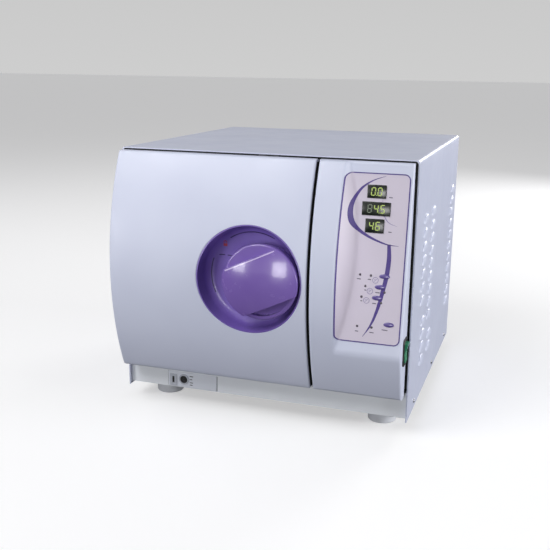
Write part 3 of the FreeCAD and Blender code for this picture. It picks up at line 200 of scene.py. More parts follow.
def powder_coat(name, color, other):
    """Powder-coated sheet steel: faint orange peel and a soft satin gloss."""
    material, tree, shader = start(name, color, 0.42, Coat_Weight=0.15, Coat_Roughness=0.3)
    bumpy(tree, shader, grain(tree, 2.2, 1.0), 0.06, 0.5)
    tint(tree, shader, grain(tree, 90, 2.0), color, other)
    vary(tree, shader, grain(tree, 30, 3.0), 0.38, 0.48)
    return material


def moulded_abs(name, color, other, gloss=0.36):
    """Moulded ABS: spark-eroded skin, its grain drawn coarse enough to show."""
    material, tree, shader = start(name, color, gloss, IOR=1.53)
    bumpy(tree, shader, grain(tree, 1.1, 2.0), 0.03, 0.5)
    tint(tree, shader, grain(tree, 120, 2.0), color, other)
    vary(tree, shader, grain(tree, 40, 3.0), gloss - 0.04, gloss + 0.06)
    return material


def gloss_plastic(name, color, other, rough=0.2, coat=0.4):
    """Polished moulding: clear highlights, the colour a little uneven in depth."""
    material, tree, shader = start(name, color, rough, IOR=1.5, Coat_Weight=coat,
                                   Coat_Roughness=0.08)
    tint(tree, shader, grain(tree, 60, 2.0), color, other)
    vary(tree, shader, grain(tree, 14, 4.0), rough - 0.04, rough + 0.06)
    bumpy(tree, shader, grain(tree, 25, 1.0), 0.05, 0.25)
    return material


def matte_plastic(name, color, other, rough=0.6):
    """Moulded polypropylene or nylon: dull, fine grained."""
    material, tree, shader = start(name, color, rough)
    tint(tree, shader, grain(tree, 8, 3.0), color, other)
    bumpy(tree, shader, grain(tree, 0.9, 2.0), 0.05, 0.5)
    vary(tree, shader, grain(tree, 12, 2.0), rough - 0.06, rough + 0.06)
    return material


def brushed(name, color, other, stretch, rough=0.32, line_mm=1.2):
    """Brushed steel: fine lines along one way, streaks in the gloss."""
    material, tree, shader = start(name, color, rough, 1.0)
    lines = grain(tree, line_mm, 3.0, stretch)
    tint(tree, shader, lines, color, other)
    vary(tree, shader, lines, rough - 0.07, rough + 0.1)
    bumpy(tree, shader, lines, 0.02, 0.4)
    return material


def cast_metal(name, color, other, rough=0.4, size_mm=3.0):
    """Machined, plated or cast metal with small uneven patches."""
    material, tree, shader = start(name, color, rough, 1.0)
    patches = grain(tree, size_mm, 4.0)
    tint(tree, shader, patches, color, other)
    vary(tree, shader, patches, rough - 0.08, rough + 0.12)
    bumpy(tree, shader, grain(tree, size_mm / 3, 2.0), 0.03, 0.4)
    return material


def lit(name, color, strength):
    """Lit segment: one even colour all over, glowing a little."""
    material, tree, shader = start(name, color, 0.4)
    shader.inputs["Emission Color"].default_value = linear(color)
    shader.inputs["Emission Strength"].default_value = strength
    return material


def wool_cloth(name, color, other):
    """Mineral wool blanket in glass cloth: fibrous, coarse weave."""
    material, tree, shader = start(name, color, 0.9, Sheen_Weight=0.3)
    thread_mm = 4
    weave = add(tree, "ShaderNodeTexWave", {"Scale": 1000 / thread_mm / 6.283, "Distortion": 1.5},
                Vector=place_of(tree)).outputs["Fac"]
    tint(tree, shader, grain(tree, 10, 4.0), color, other)
    bumpy(tree, shader, weave, 0.6, 0.6)
    return material


def board_laminate(name):
    """Glass-epoxy circuit board: green mask with paler copper tracks under it."""
    material, tree, shader = start(name, "#1B5A36", 0.35, Coat_Weight=0.3)
    tracks = add(tree, "ShaderNodeTexVoronoi", {"Scale": 1000 / 6.0, "distance": "MANHATTAN"},
                 Vector=place_of(tree)).outputs["Distance"]
    tint(tree, shader, tracks, "#1B5A36", "#3C8A5B", 0.2, 0.5)
    return material


def make_materials():
    m = {}
    # painted sheet: satin, a trace of orange peel, pale and cool
    m["cover"] = powder_coat("powder_coated_steel", "#BFC4DA", "#C6CBE0")
    m["pan"] = powder_coat("powder_coated_pan", "#E0E4EC", "#E6EAF1")
    # shells: even lavender with a fine dull skin; handle and knob: smooth violet with clear lights
    m["abs"] = moulded_abs("moulded_abs_lavender", "#C9CEE3", "#CED3E7", 0.42)
    m["well"] = gloss_plastic("polished_abs_violet", "#6E57A8", "#7862B2", 0.34, 0.1)
    m["knob"] = gloss_plastic("polished_abs_lilac", "#745AAA", "#7C64B0", 0.23)
    # the knob's pale edge strip: a painted highlight along the grip band's upper edge
    m["knob_edge"] = gloss_plastic("knob_edge_painted_highlight", "#C3B2E0", "#CCBCE6", 0.3)
    # label and prints: a flat matt film, and inks that hardly stand out of it
    m["label"] = moulded_abs("matt_polyester_label", "#C9C1D1", "#CEC6D7", 0.5)
    m["ink"] = matte_plastic("violet_screen_ink", "#44327E", "#4A3884", 0.6)
    m["fine_ink"] = gloss_plastic("grey_violet_screen_ink", "#7E76A0", "#887FAA", 0.4, 0.1)
    # controls: glossy caps and lenses, near-black windows with pale green figures
    m["key"] = gloss_plastic("violet_key_cap", "#4E3F84", "#5A4A90", 0.25)
    m["window"] = gloss_plastic("smoked_acrylic", "#0A120B", "#0E170F", 0.22, 0.0)
    m["segment"] = lit("lit_segment_green", "#A4B860", 0.3)
    m["dim"] = lit("dim_segment", "#6E7867", 0.05)
    m["lamp"] = gloss_plastic("lamp_lens", "#3E3644", "#48404E", 0.25)
    m["tick_ink"] = gloss_plastic("dark_screen_ink", "#5B566A", "#635E72", 0.4, 0.1)
    # small prints and dark trims: dull, so that they read as lines and gaps; the black strip in the
    # door seam is painted shade
    m["dish_ink"] = matte_plastic("dull_violet_ink", "#33245A", "#3A2A62", 0.6)
    m["red"] = gloss_plastic("red_print", "#A03048", "#AA3A52", 0.35, 0.1)
    m["black"] = matte_plastic("black_nylon", "#131316", "#1B1B1F", 0.5)
    # black strip lining the door and fascia seam: painted shade in the gap
    m["foam"] = matte_plastic("black_foam_tape", "#08080A", "#0D0D10", 0.9)
    m["lens"] = gloss_plastic("green_polycarbonate", "#2F8F66", "#45A87C", 0.15)
    m["foot"] = matte_plastic("grey_polypropylene", "#CACDD6", "#D2D5DD", 0.55)
    m["port"] = matte_plastic("grey_port_frame", "#B4B8C4", "#BCC0CC", 0.5)
    m["plate"] = moulded_abs("moulded_abs_plate", "#D4D8E4", "#D9DDE8", 0.45)
    # metals: brushed lines, cast or plated patches, and soft or hard highlights
    m["stainless"] = brushed("brushed_stainless", "#C6C7C9", "#B4B5B8", (1, 0.04, 1))
    # the bulkhead is black as painted shade, so the gaps round the door and fascia read dark
    m["dark"] = powder_coat("bulkhead_black_painted_shade", "#0E0E10", "#141417")
    m["zinc"] = cast_metal("zinc_plated_sheet", "#B9BBC0", "#A9ABB2", 0.38, 14.0)
    m["steel"] = cast_metal("machined_steel", "#8C8D91", "#7B7C81", 0.34, 4.0)
    m["aluminium"] = cast_metal("aluminium_sheet", "#C3C5C9", "#B5B7BC", 0.36, 5.0)
    m["brass"] = cast_metal("brass_fitting", "#C2A05A", "#B08E4A", 0.3, 4.0)
    m["screw"] = cast_metal("nickel_plated_screw", "#B8B8BC", "#A4A4A9", 0.28, 2.0)
    m["chrome"] = cast_metal("chromed_wire", "#D8D9DC", "#CACBD0", 0.14, 6.0)
    # seals, wool, tank, pumps and boards: soft, fibrous, milky, painted and laminated
    m["silicone"] = matte_plastic("white_silicone", "#D9D8D2", "#E0DFDA", 0.5)
    m["wool"] = wool_cloth("glass_cloth_blanket", "#D9D4C2", "#C8C2AE")
    m["heater"] = cast_metal("mica_band_heater", "#9C968C", "#8A857C", 0.45, 8.0)
    m["tank"] = matte_plastic("natural_polyethylene", "#E4E8EA", "#DCE1E4", 0.45)
    m["pump"] = powder_coat("painted_pump", "#565A62", "#5F636B")
    m["board"] = board_laminate("glass_epoxy_board")
    return m


MAT = make_materials()
FINISH = {  # CAD nodes that stay, and their finish
    "pan": ("base_pan", "rear_panel"), "screw": ("screws", "flange_bolts"),
    "dark": ("front_bulkhead",), "zinc": ("partition", "chamber_saddles"),
    "steel": ("lock_spindle", "lock_pinion", "lock_bolt_upper", "lock_bolt_lower", "lock_keepers",
              "hinge_brackets", "hinge_leaves", "hinge_pins", "plate_stud"),
    "aluminium": ("bolt_guides", "power_supply", "condenser_coil"),
    "stainless": ("door_backplate", "pressure_plate", "chamber_vessel", "chamber_flange",
                  "tray_rack", "trays", "steam_generator"),
    "silicone": ("door_seal",), "heater": ("heater_bands",),
    "tank": ("water_tank",), "pump": ("vacuum_pump", "water_pump"),
    "brass": ("valve_manifold", "pipework", "safety_valve", "valve_pull"),
    "board": ("control_board", "display_board"), "chrome": ("fan_guard",),
    "black": ("fan_frame", "fan_rotor", "mains_inlet", "switch_bezel"), "foot": ("feet",),
}


# ---------------------------------------------------------------- modelling helpers

def clear_choice():
    """Leave edit mode and deselect everything."""
    if bpy.context.object and bpy.context.object.mode != "OBJECT":
        bpy.ops.object.mode_set(mode="OBJECT")
    bpy.ops.object.select_all(action="DESELECT")


def begin(name, primitive, **where):
    """Add a primitive with everything else deselected, and name it."""
    clear_choice()
    primitive(**where)
    obj = bpy.context.object
    obj.name = obj.data.name = name
    return obj


def edit(obj, kind="FACE"):
    """Enter edit mode on one object with nothing selected."""
    clear_choice()
    bpy.context.view_layer.objects.active = obj
    obj.select_set(True)
    bpy.ops.object.mode_set(mode="EDIT")
    bpy.ops.mesh.select_mode(type=kind)
    bpy.ops.mesh.select_all(action="DESELECT")


def choose(obj, test, kind="FACE"):
    """Select the faces, edges or vertices whose middle and normal pass the test."""
    edit(obj, kind)
    mesh = bmesh.from_edit_mesh(obj.data)
    chosen = 0
    for item in {"FACE": mesh.faces, "EDGE": mesh.edges, "VERT": mesh.verts}[kind]:
        if kind == "FACE":
            hit = test(item.calc_center_median() * 1000, item.normal)
        elif kind == "EDGE":
            hit = test(item.verts[0].co * 1000, item.verts[1].co * 1000)
        else:
            hit = test(item.co * 1000)
        item.select_set(bool(hit))
        chosen += bool(hit)
    mesh.select_flush_mode()
    bmesh.update_edit_mesh(obj.data)
    return chosen


def choose_rim(obj):
    """Select the open boundary edges."""
    edit(obj, "EDGE")
    mesh = bmesh.from_edit_mesh(obj.data)
    for e in mesh.edges:
        e.select_set(e.is_boundary)
    bmesh.update_edit_mesh(obj.data)


def leave():
    """Back to object mode."""
    bpy.ops.object.mode_set(mode="OBJECT")


def baked(obj):
    """Put the object's place, turn and size into its mesh."""
    clear_choice()
    obj.select_set(True)
    bpy.context.view_layer.objects.active = obj
    bpy.ops.object.transform_apply(location=True, rotation=True, scale=True)
    return obj


def modify(obj, kind, **settings):
    """Add a modifier and apply it."""
    clear_choice()
    bpy.context.view_layer.objects.active = obj
    obj.select_set(True)
    modifier = obj.modifiers.new(kind.lower(), kind)
    for key, value in settings.items():
        setattr(modifier, key, value)
    bpy.ops.object.modifier_apply(modifier=modifier.name)
    return obj


def cut(obj, cutter):
    """Cut one object's shape out of another and remove the cutter."""
    modify(obj, "BOOLEAN", operation="DIFFERENCE", object=cutter, solver="EXACT")
    bpy.data.objects.remove(cutter)
    return obj


def joined(main, *others):
    """Join objects into the first."""
    clear_choice()
    for o in others:
        o.select_set(True)
    main.select_set(True)
    bpy.context.view_layer.objects.active = main
    bpy.ops.object.join()
    return main


def agree(obj, merge=True):
    """Make a mesh's faces agree on their outside, after merging its doubles."""
    edit(obj)
    bpy.ops.mesh.select_all(action="SELECT")
    if merge:
        bpy.ops.mesh.remove_doubles(threshold=1e-6)
    bpy.ops.mesh.normals_make_consistent(inside=False)
    leave()


def outward(obj):
    """Merge doubles and turn every face out; an open shell's foremost face must look forward."""
    agree(obj)
    if min(obj.data.polygons, key=lambda f: f.center.y).normal.y > 0:
        edit(obj)
        bpy.ops.mesh.select_all(action="SELECT")
        bpy.ops.mesh.flip_normals()
        leave()


def finish_piece(obj, material, body, slot, *nodes, angle=35.0):
    """Smooth, paint, and hang a finished piece on its body."""
    baked(obj)
    bpy.ops.object.shade_smooth_by_angle(angle=math.radians(angle))
    obj.data.materials.clear()
    obj.data.materials.append(material)
    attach(obj, body)
    if nodes:
        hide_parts(*nodes)
    return obj


def spun_skin(name, x0, x1, z0, z1, columns, steps=36):
    """The bulged skin: a straight edge across the machine spun about the bulge's axis."""
    low, high = (math.asin((z - ARC_Z) / ARC_R) for z in (z0, z1))
    obj = begin(name, bpy.ops.mesh.primitive_grid_add, x_subdivisions=columns, y_subdivisions=1,
                size=1, location=at((x0 + x1) / 2, float(arc_y(z0)), z0))
    obj.scale = (mm(x1 - x0), mm(10), 1)
    baked(obj)
    front = float(at(0, float(arc_y(z0)), 0).y * 1000)
    choose(obj, lambda p: p.y > front, "VERT")
    bpy.ops.mesh.delete(type="VERT")
    edit(obj, "VERT")
    bpy.ops.mesh.select_all(action="SELECT")
    bpy.ops.transform.resize(value=(1, 0, 1), center_override=at(0, float(arc_y(z0)), z0))
    bpy.ops.mesh.spin(steps=steps, angle=high - low, center=at(0, ARC_Y, ARC_Z), axis=(1, 0, 0))
    leave()
    return obj


def pull_back(obj, y):
    """Extrude the open rim of a skin straight back to the plane at y."""
    choose_rim(obj)
    bpy.ops.mesh.extrude_region_move(TRANSFORM_OT_translate={"value": (0, mm(5), 0)})
    bpy.ops.transform.resize(value=(1, 0, 1), center_override=at(0, y, 0))
    leave()


def spun(name, profile, x, z, steps=96, angle=2 * math.pi):
    """Spin an open (radius, y) profile about the Y axis through (x, z)."""
    obj = begin(name, bpy.ops.mesh.primitive_circle_add, vertices=len(profile), radius=mm(1),
                fill_type="NOTHING")
    mesh = obj.data
    for vertex, (r, y) in zip(mesh.vertices, profile):
        vertex.co = at(x + r, y, z)
    last = len(profile) - 1
    edit(obj, "EDGE")
    shape = bmesh.from_edit_mesh(mesh)
    shape.verts.ensure_lookup_table()
    closing = shape.edges.get((shape.verts[0], shape.verts[last]))
    closing.select_set(True)
    bmesh.update_edit_mesh(mesh)
    bpy.ops.mesh.delete(type="EDGE")
    bpy.ops.mesh.select_all(action="SELECT")
    bpy.ops.mesh.spin(steps=steps, angle=angle, center=at(x, 0, z), axis=(0, 1, 0))
    bpy.ops.mesh.select_all(action="SELECT")
    bpy.ops.mesh.remove_doubles(threshold=1e-6)
    bpy.ops.mesh.normals_make_consistent(inside=False)
    leave()
    return obj


def block(name, x0, x1, y0, y1, z0, z1, round_mm=0.0, segments=3):
    """Box between two corners of the drawing frame, with all its edges rounded."""
    obj = begin(name, bpy.ops.mesh.primitive_cube_add, size=1,
                location=at((x0 + x1) / 2, (y0 + y1) / 2, (z0 + z1) / 2))
    obj.scale = (mm(x1 - x0), mm(y1 - y0), mm(z1 - z0))
    baked(obj)
    if round_mm:
        modify(obj, "BEVEL", width=mm(round_mm), segments=segments)
    return obj


def bar_y(name, x, z, r, y0, y1, sides=48, r_back=None):
    """Round bar or cone along Y, its radius r at y0."""
    obj = begin(name, bpy.ops.mesh.primitive_cone_add, vertices=sides, radius1=mm(r),
                radius2=mm(r if r_back is None else r_back), depth=mm(y1 - y0),
                location=at(x, (y0 + y1) / 2, z), rotation=(-math.pi / 2, 0, 0))
    return baked(obj)


def bar_x(name, x0, x1, y, z, r, sides=24):
    """Round bar along X."""
    obj = begin(name, bpy.ops.mesh.primitive_cylinder_add, vertices=sides, radius=mm(r),
                depth=mm(x1 - x0), location=at((x0 + x1) / 2, y, z), rotation=(0, math.pi / 2, 0))
    return baked(obj)


def soften(obj, round_mm, segments=3, angle=30.0):
    """Round the edges that are sharper than angle, in degrees."""
    return modify(obj, "BEVEL", width=mm(round_mm), segments=segments, limit_method="ANGLE",
                  angle_limit=math.radians(angle), use_clamp_overlap=True)


def on_surface(obj, lift_mm):
    """Lay a flat piece, drawn in X and Z with its thickness in Y, on the fascia's front."""
    for vertex in obj.data.vertices:
        x, z = vertex.co.x * 1000, vertex.co.z * 1000 - DROP
        vertex.co.y += mm(float(fascia_y(x, z)) - lift_mm - MID_Y)
    return obj


# ---------------------------------------------------------------- sizes a user would change

class AutoclaveSizes(bpy.types.PropertyGroup):
    edge_round: bpy.props.FloatProperty(
        name="Moulding edge", description="Edge radius of the door and fascia mouldings",
        default=0.0036, min=0.0005, max=0.005, unit="LENGTH")
    wall: bpy.props.FloatProperty(
        name="Wall", description="Wall thickness of the plastic shells",
        default=0.003, min=0.0015, max=0.005, unit="LENGTH")
    floor_color: bpy.props.FloatVectorProperty(
        name="Floor", description="Colour of the floor and backdrop",
        default=(0.93, 0.93, 0.94), size=3, subtype="COLOR", min=0, max=1)


def sizes():
    """The scene's own copy of the sizes above."""
    return bpy.context.scene.autoclave_sizes


class AUTOCLAVE_OT_frame_finish(bpy.types.Operator):
    """Give the frame's own metal and plastic pieces their finishes"""
    bl_idname = "autoclave.frame_finish"
    bl_label = "Frame finishes"

    def execute(self, context):
        for key, nodes in FINISH.items():
            for name in nodes:
                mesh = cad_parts[name].data
                mesh.materials.clear()
                mesh.materials.append(MAT[key])
        return {"FINISHED"}


class AUTOCLAVE_OT_cover(bpy.types.Operator):
    """Bent sheet cover with hemmed edges and rounded louvres on both sides"""
    bl_idname = "autoclave.cover"
    bl_label = "Cover"

    def execute(self, context):
        half = COVER_W / 2
        cover = block("sheet_cover", -half, half, 0, COVER_D, 0, COVER_H)
        choose(cover, lambda c, n: abs(n.y) > 0.5 or n.z < -0.5)
        bpy.ops.mesh.delete(type="FACE")
        leave()
        choose(cover, lambda a, b: min(a.z, b.z) > COVER_H + DROP - 1 and abs(a.x - b.x) < 1, "EDGE")
        bpy.ops.mesh.bevel(offset=mm(BEND), segments=6, affect="EDGES")
        leave()
        for y in (0, COVER_D):
            place = y - MID_Y
            choose(cover, lambda a, b: abs(a.y - place) < 0.1 and abs(b.y - place) < 0.1, "EDGE")
            bpy.ops.mesh.extrude_region_move(TRANSFORM_OT_translate={"value": (0, 0, 0)})
            bpy.ops.transform.resize(value=(1 - HEM / half, 1, 1 - HEM / COVER_H),
                                     center_override=at(0, y, 0))
            leave()
        outward(cover)
        modify(cover, "SOLIDIFY", thickness=mm(SHEET), offset=-1, use_even_offset=True)
        slots = [block("slot", side * half - 3, side * half + 3, y - 19, y + 19, z - 4.4, z + 2.5)
                 for side in (-1, 1) for y, z in louvre_places()]
        holes = [bar_x("hole", -half - 2, half + 2, y, 14.0, 1.75) for y in COVER_SCREWS_Y]
        cut(cover, joined(*slots))
        cut(cover, joined(*holes))
        hood = louvre_hood()
        hoods = []
        for side in (-1, 1):
            for y, z in louvre_places():
                copy = hood.copy()
                copy.data = hood.data.copy()
                context.scene.collection.objects.link(copy)
                for vertex in copy.data.vertices:
                    vertex.co.x *= side
                    vertex.co += Vector((0, mm(y), mm(z)))
                if side < 0:
                    copy.data.flip_normals()
                hoods.append(copy)
        bpy.data.objects.remove(hood)
        finish_piece(joined(cover, *hoods), MAT["cover"], "frame", "cover_paint", "wrap_cover")
        return {"FINISHED"}


def louvre_places():
    """Y and Z of every louvre on one side."""
    pitch = 22.4
    places = [(98.0, 130 + pitch * k) for k in range(2, 9)]
    places += [(179.0, 130 + pitch * k) for k in range(9)]
    places += [(119.0, 67 + pitch * k) for k in range(4)]
    places += [(197.0, 67 + pitch * k) for k in range(2)]
    places += [(428.0, 89 + pitch * k) for k in range(11)]
    return places


def louvre_hood():
    """Quarter of an egg standing out of the right side, open below."""
    hood = begin("louvre", bpy.ops.mesh.primitive_uv_sphere_add, segments=28, ring_count=14,
                 radius=1, location=at(COVER_W / 2, 0, -5.0))
    hood.scale = (mm(4.2), mm(23), mm(13))
    baked(hood)
    limit_x, limit_z = COVER_W / 2 - 1.3, DROP - 5.05
    choose(hood, lambda p: p.x < limit_x or p.z < limit_z, "VERT")
    bpy.ops.mesh.delete(type="VERT")
    leave()
    outward_from(hood, at(COVER_W / 2 - 4, 0, -5))
    return modify(hood, "SOLIDIFY", thickness=mm(0.8), offset=-1)


def outward_from(obj, centre):
    """Turn an open skin's faces away from a point."""
    agree(obj, merge=False)
    if sum((f.center - centre).dot(f.normal) * f.area for f in obj.data.polygons) < 0:
        obj.data.flip_normals()


class AUTOCLAVE_OT_door_shell(bpy.types.Operator):
    """Bulged door moulding with the round hole for the handle well"""
    bl_idname = "autoclave.door_shell"
    bl_label = "Door shell"

    def execute(self, context):
        door = spun_skin("door_shell", DOOR_X0, DOOR_X1, FRONT_Z0, FRONT_Z1, 12)
        pull_back(door, FRONT_BACK)
        outward(door)
        front_edge(door, DOOR_X0, DOOR_X1, sizes().edge_round)
        modify(door, "SOLIDIFY", thickness=sizes().wall, offset=-1)
        hole = rim_radius(0.2 + EDGE_BEAD)
        cut(door, bar_y("plug", WELL_X, WELL_Z, hole(-88), -88, -10, 144, hole(-10)))
        for z in HINGES_Z:
            cut(door, block("notch", DOOR_X0 - 1, DOOR_X0 + 4.2, HINGE_Y - 9, FRONT_BACK + 1,
                            z - 8, z + 8))
        # black strip on the door's seam wall: painted shade in the gap
        seam_shade_strip("door_seam_shade", DOOR_X1 + 0.3, "door")
        bead = rim_bead("door_hole_edge", rim_radius(0.2 + EDGE_BEAD)(RIM_Y), EDGE_BEAD, EDGE_BEAD)
        finish_piece(joined(door, bead), MAT["abs"], "door", "shell_plastic", "door_cover")
        return {"FINISHED"}


def dish_flat():
    """Radius of the dish's flat floor, where the rounding into the drafted wall begins."""
    a = math.pi / 2 - math.atan(WELL_DRAFT)
    return WELL_R + DISH_FILLET * (WELL_DRAFT * (1 - math.cos(a)) - math.sin(a))


def rim_radius(extra):
    """Radius of the dish's outside plus extra, as a function of Y."""
    return lambda y: WELL_R + DISH_WALL + extra + WELL_DRAFT * (WELL_FLOOR - y)


def seam_shade_strip(name, x, body):
    """Black strip on one wall of the seam between door and fascia: painted shade, so the deep gap reads
    dark.
    """
    rows = np.linspace(FRONT_Z0 + 4, FRONT_Z1 - 4, 48)
    gap_strip = begin(name, bpy.ops.mesh.primitive_grid_add, x_subdivisions=1,
                 y_subdivisions=len(rows) - 1, size=1)
    for row, z in enumerate(rows):
        front = float(arc_y(z)) + 2.6
        gap_strip.data.vertices[row * 2].co = at(x, front, z)
        gap_strip.data.vertices[row * 2 + 1].co = at(x, FRONT_BACK - 1, z)
    modify(gap_strip, "SOLIDIFY", thickness=mm(0.5), offset=0)
    agree(gap_strip, merge=False)
    finish_piece(gap_strip, MAT["foam"], body, "black_plastic")


def front_edge(obj, x0, x1, width):
    """Round the edges round a bulged front, and the corners that run back from it."""
    def at_x(p, q, w):
        return abs(p.x - w) < 0.05 and abs(q.x - w) < 0.05

    def at_z(p, q, w):
        return abs(p.z - DROP - w) < 0.05 and abs(q.z - DROP - w) < 0.05

    def on_front(p):
        return abs(p.y + MID_Y - float(arc_y(p.z - DROP))) < 0.05

    def on_edge(p, q):
        ends = [at_x(p, q, x0) or at_x(p, q, x1), at_z(p, q, FRONT_Z0) or at_z(p, q, FRONT_Z1)]
        return all(ends) or (any(ends) and on_front(p) and on_front(q))
    if not choose(obj, on_edge, "EDGE"):
        raise RuntimeError("no front edge found on " + obj.name)
    bpy.ops.mesh.bevel(offset=width, segments=5, affect="EDGES")
    leave()


def rim_bead(name, radius, thick, sink):
    """Rounded edge of the round hole, following the bulge."""
    bead = begin(name, bpy.ops.mesh.primitive_torus_add, major_radius=mm(radius),
                 minor_radius=mm(thick), major_segments=144, minor_segments=12,
                 location=at(WELL_X, 0, WELL_Z), rotation=(math.pi / 2, 0, 0))
    baked(bead)
    for vertex in bead.data.vertices:
        z = vertex.co.z * 1000 - DROP
        r = math.hypot(vertex.co.x * 1000 - WELL_X, z - WELL_Z)
        flat = WELL_Z + (z - WELL_Z) * radius / max(r, 1)
        vertex.co.y += mm(float(arc_y(flat)) + sink)
    return bead


class AUTOCLAVE_OT_handle_well(bpy.types.Operator):
    """Deep violet well round the knob, its rim following the bulge"""
    bl_idname = "autoclave.handle_well"
    bl_label = "Handle well"

    def execute(self, context):
        steps = 10
        end = math.pi / 2 - math.atan(WELL_DRAFT)
        profile = [(0.0, WELL_FLOOR), (WELL_R * 0.5, WELL_FLOOR), (dish_flat(), WELL_FLOOR)]
        for k in range(1, steps + 1):
            a = end * k / steps
            profile.append((dish_flat() + DISH_FILLET * math.sin(a),
                            WELL_FLOOR - DISH_FILLET * (1 - math.cos(a))))
        deep = profile[-1][1]
        for k in range(1, steps + 1):
            y = deep + (DISH_TOP - deep) * k / steps
            profile.append((WELL_R + WELL_DRAFT * (WELL_FLOOR - y), y))
        well = spun("handle_well", profile, WELL_X, WELL_Z, 128)
        for vertex in well.data.vertices:
            y = vertex.co.y * 1000 + MID_Y
            share = (y - deep) / (DISH_TOP - deep)
            if share > 0:
                top = float(arc_y(vertex.co.z * 1000 - DROP)) + 0.5
                vertex.co.y = at(0, deep + (top - deep) * share, 0).y
        modify(well, "SOLIDIFY", thickness=mm(DISH_WALL), offset=side_out(well))
        cut(well, bar_y("hole", KNOB_X, KNOB_Z, 7.2, -40, -10))
        soften(well, 0.7, 3, 50)
        finish_piece(well, MAT["well"], "door", "purple_well", "handle_well")
        marks = [dish_mark("mark", dish_arc(70.5, 124, 62), 1.7),
                 dish_mark("mark", dish_arc(71.5, 206, 160), 1.4),
                 dish_mark("mark", [(-61.0, 252.0), (-56.0, 252.6), (-51.0, 252.4)], 1.6),
                 dish_mark("mark", [(-47.0, 252.4), (-40.0, 251.6), (-33.5, 250.8)], 1.6)]
        finish_piece(joined(*marks), MAT["dish_ink"], "door", "purple_well")
        lock = joined(dish_mark("lock_mark", [(-53.6, 268.6), (-50.5, 268.6), (-47.4, 268.6)], 4.4),
                      dish_mark("lock_mark", [(-52.6, 271.0), (-52.4, 274.0), (-50.5, 275.4),
                                              (-48.6, 274.0), (-48.4, 271.0)], 1.0))
        finish_piece(lock, MAT["red"], "door", "purple_well")
        return {"FINISHED"}


def dish_arc(radius, from_deg, to_deg, count=14):
    """Points on an arc round the well's middle."""
    turns = (math.radians(from_deg + (to_deg - from_deg) * k / (count - 1)) for k in range(count))
    return [(WELL_X + radius * math.cos(t), WELL_Z + radius * math.sin(t)) for t in turns]


def dish_mark(name, points, width):
    """Printed line on the well's floor."""
    line = ribbon(name, [(x, z, width) for x, z in points], taper=False)
    for vertex in line.data.vertices:
        r = math.hypot(vertex.co.x * 1000 - WELL_X, vertex.co.z * 1000 - DROP - WELL_Z)
        out = max(r - dish_flat(), 0.0)
        rise = DISH_FILLET - math.sqrt(DISH_FILLET ** 2 - out ** 2)
        vertex.co.y = at(0, WELL_FLOOR - rise - 0.25, 0).y
    outward(line)
    return modify(line, "SOLIDIFY", thickness=mm(0.15), offset=-1)


def side_out(obj):
    """Solidify offset that thickens a spun bowl away from its open front."""
    middle = min(obj.data.polygons, key=lambda p: (p.center - at(WELL_X, WELL_FLOOR, WELL_Z)).length)
    return -1.0 if middle.normal.y < 0 else 1.0


BAND_ROUND, SKIRT_ROUND, DOME_STEPS, SHOULDER_DEG = 1.6, 3.0, 20, 25
KNOB_SIDES = 144


def band_way():
    """Unit vector square to the grip band, in the knob's plane."""
    turn = math.radians(KNOB_TURN)
    return Vector((-math.sin(turn), 0, math.cos(turn)))


def dome_y(r):
    """Y of the knob's domed front at radius r."""
    return KNOB_FRONT + KNOB_DOME - math.sqrt(KNOB_DOME ** 2 - r * r)


def trimmed(obj, offset_mm, way):
    """Cut away what lies past a plane offset_mm from the knob's axis, and close the cut."""
    edit(obj)
    bpy.ops.mesh.select_all(action="SELECT")
    bpy.ops.mesh.bisect(plane_co=at(KNOB_X, 0, KNOB_Z) + band_way() * mm(offset_mm), plane_no=way,
                        use_fill=True, clear_outer=True)
    leave()


def knob_skirt():
    """Round flange and hollow skirt, with a finger pocket below the grip band."""
    rim = KNOB_R - 1.2
    profile = [(0.0, KNOB_STEP - 0.5), (rim - SKIRT_ROUND, KNOB_STEP)]
    for k in range(1, 7):
        a = math.pi / 2 * k / 6
        profile.append((rim - SKIRT_ROUND + SKIRT_ROUND * math.sin(a),
                        KNOB_STEP + SKIRT_ROUND * (1 - math.cos(a))))
    profile += [(KNOB_R - 4, -46.0), (KNOB_R - 6, KNOB_BACK), (48.0, KNOB_BACK),
                (48.0, -50.0), (14.0, -50.0), (14.0, KNOB_BACK), (0.0, KNOB_BACK)]
    skirt = spun("lock_knob", profile, KNOB_X, KNOB_Z, KNOB_SIDES)
    pocket = bar_y("pocket", KNOB_X, KNOB_Z, rim - 6.0, KNOB_STEP - 2, KNOB_STEP + 9.5, 96)
    trimmed(pocket, -(KNOB_BAND - 2), band_way())
    return cut(skirt, pocket)


def grip_band():
    """Domed band across the knob, with a rolled shoulder and two straight sides."""
    edge = KNOB_R - BAND_ROUND
    dome = [(edge * k / DOME_STEPS, dome_y(edge * k / DOME_STEPS)) for k in range(DOME_STEPS + 1)]
    edge_y = dome[-1][1]
    shoulder = math.radians(SHOULDER_DEG)
    for k in range(1, 5):
        a = shoulder + math.radians(90 - SHOULDER_DEG) * k / 4
        out = BAND_ROUND * (math.sin(a) - math.sin(shoulder)) * 1.7
        dome.append((edge + out, edge_y + BAND_ROUND * (math.cos(shoulder) - math.cos(a))))
    dome += [(KNOB_R - 0.4, KNOB_STEP + 4.0), (KNOB_R - 6.5, KNOB_STEP + 9.0), (0.0, KNOB_STEP + 9.0)]
    band = spun("band", dome, KNOB_X, KNOB_Z, KNOB_SIDES)
    for side in (1, -1):
        trimmed(band, side * KNOB_BAND, band_way() * side)
    return soften(band, BAND_ROUND, 3, 50)


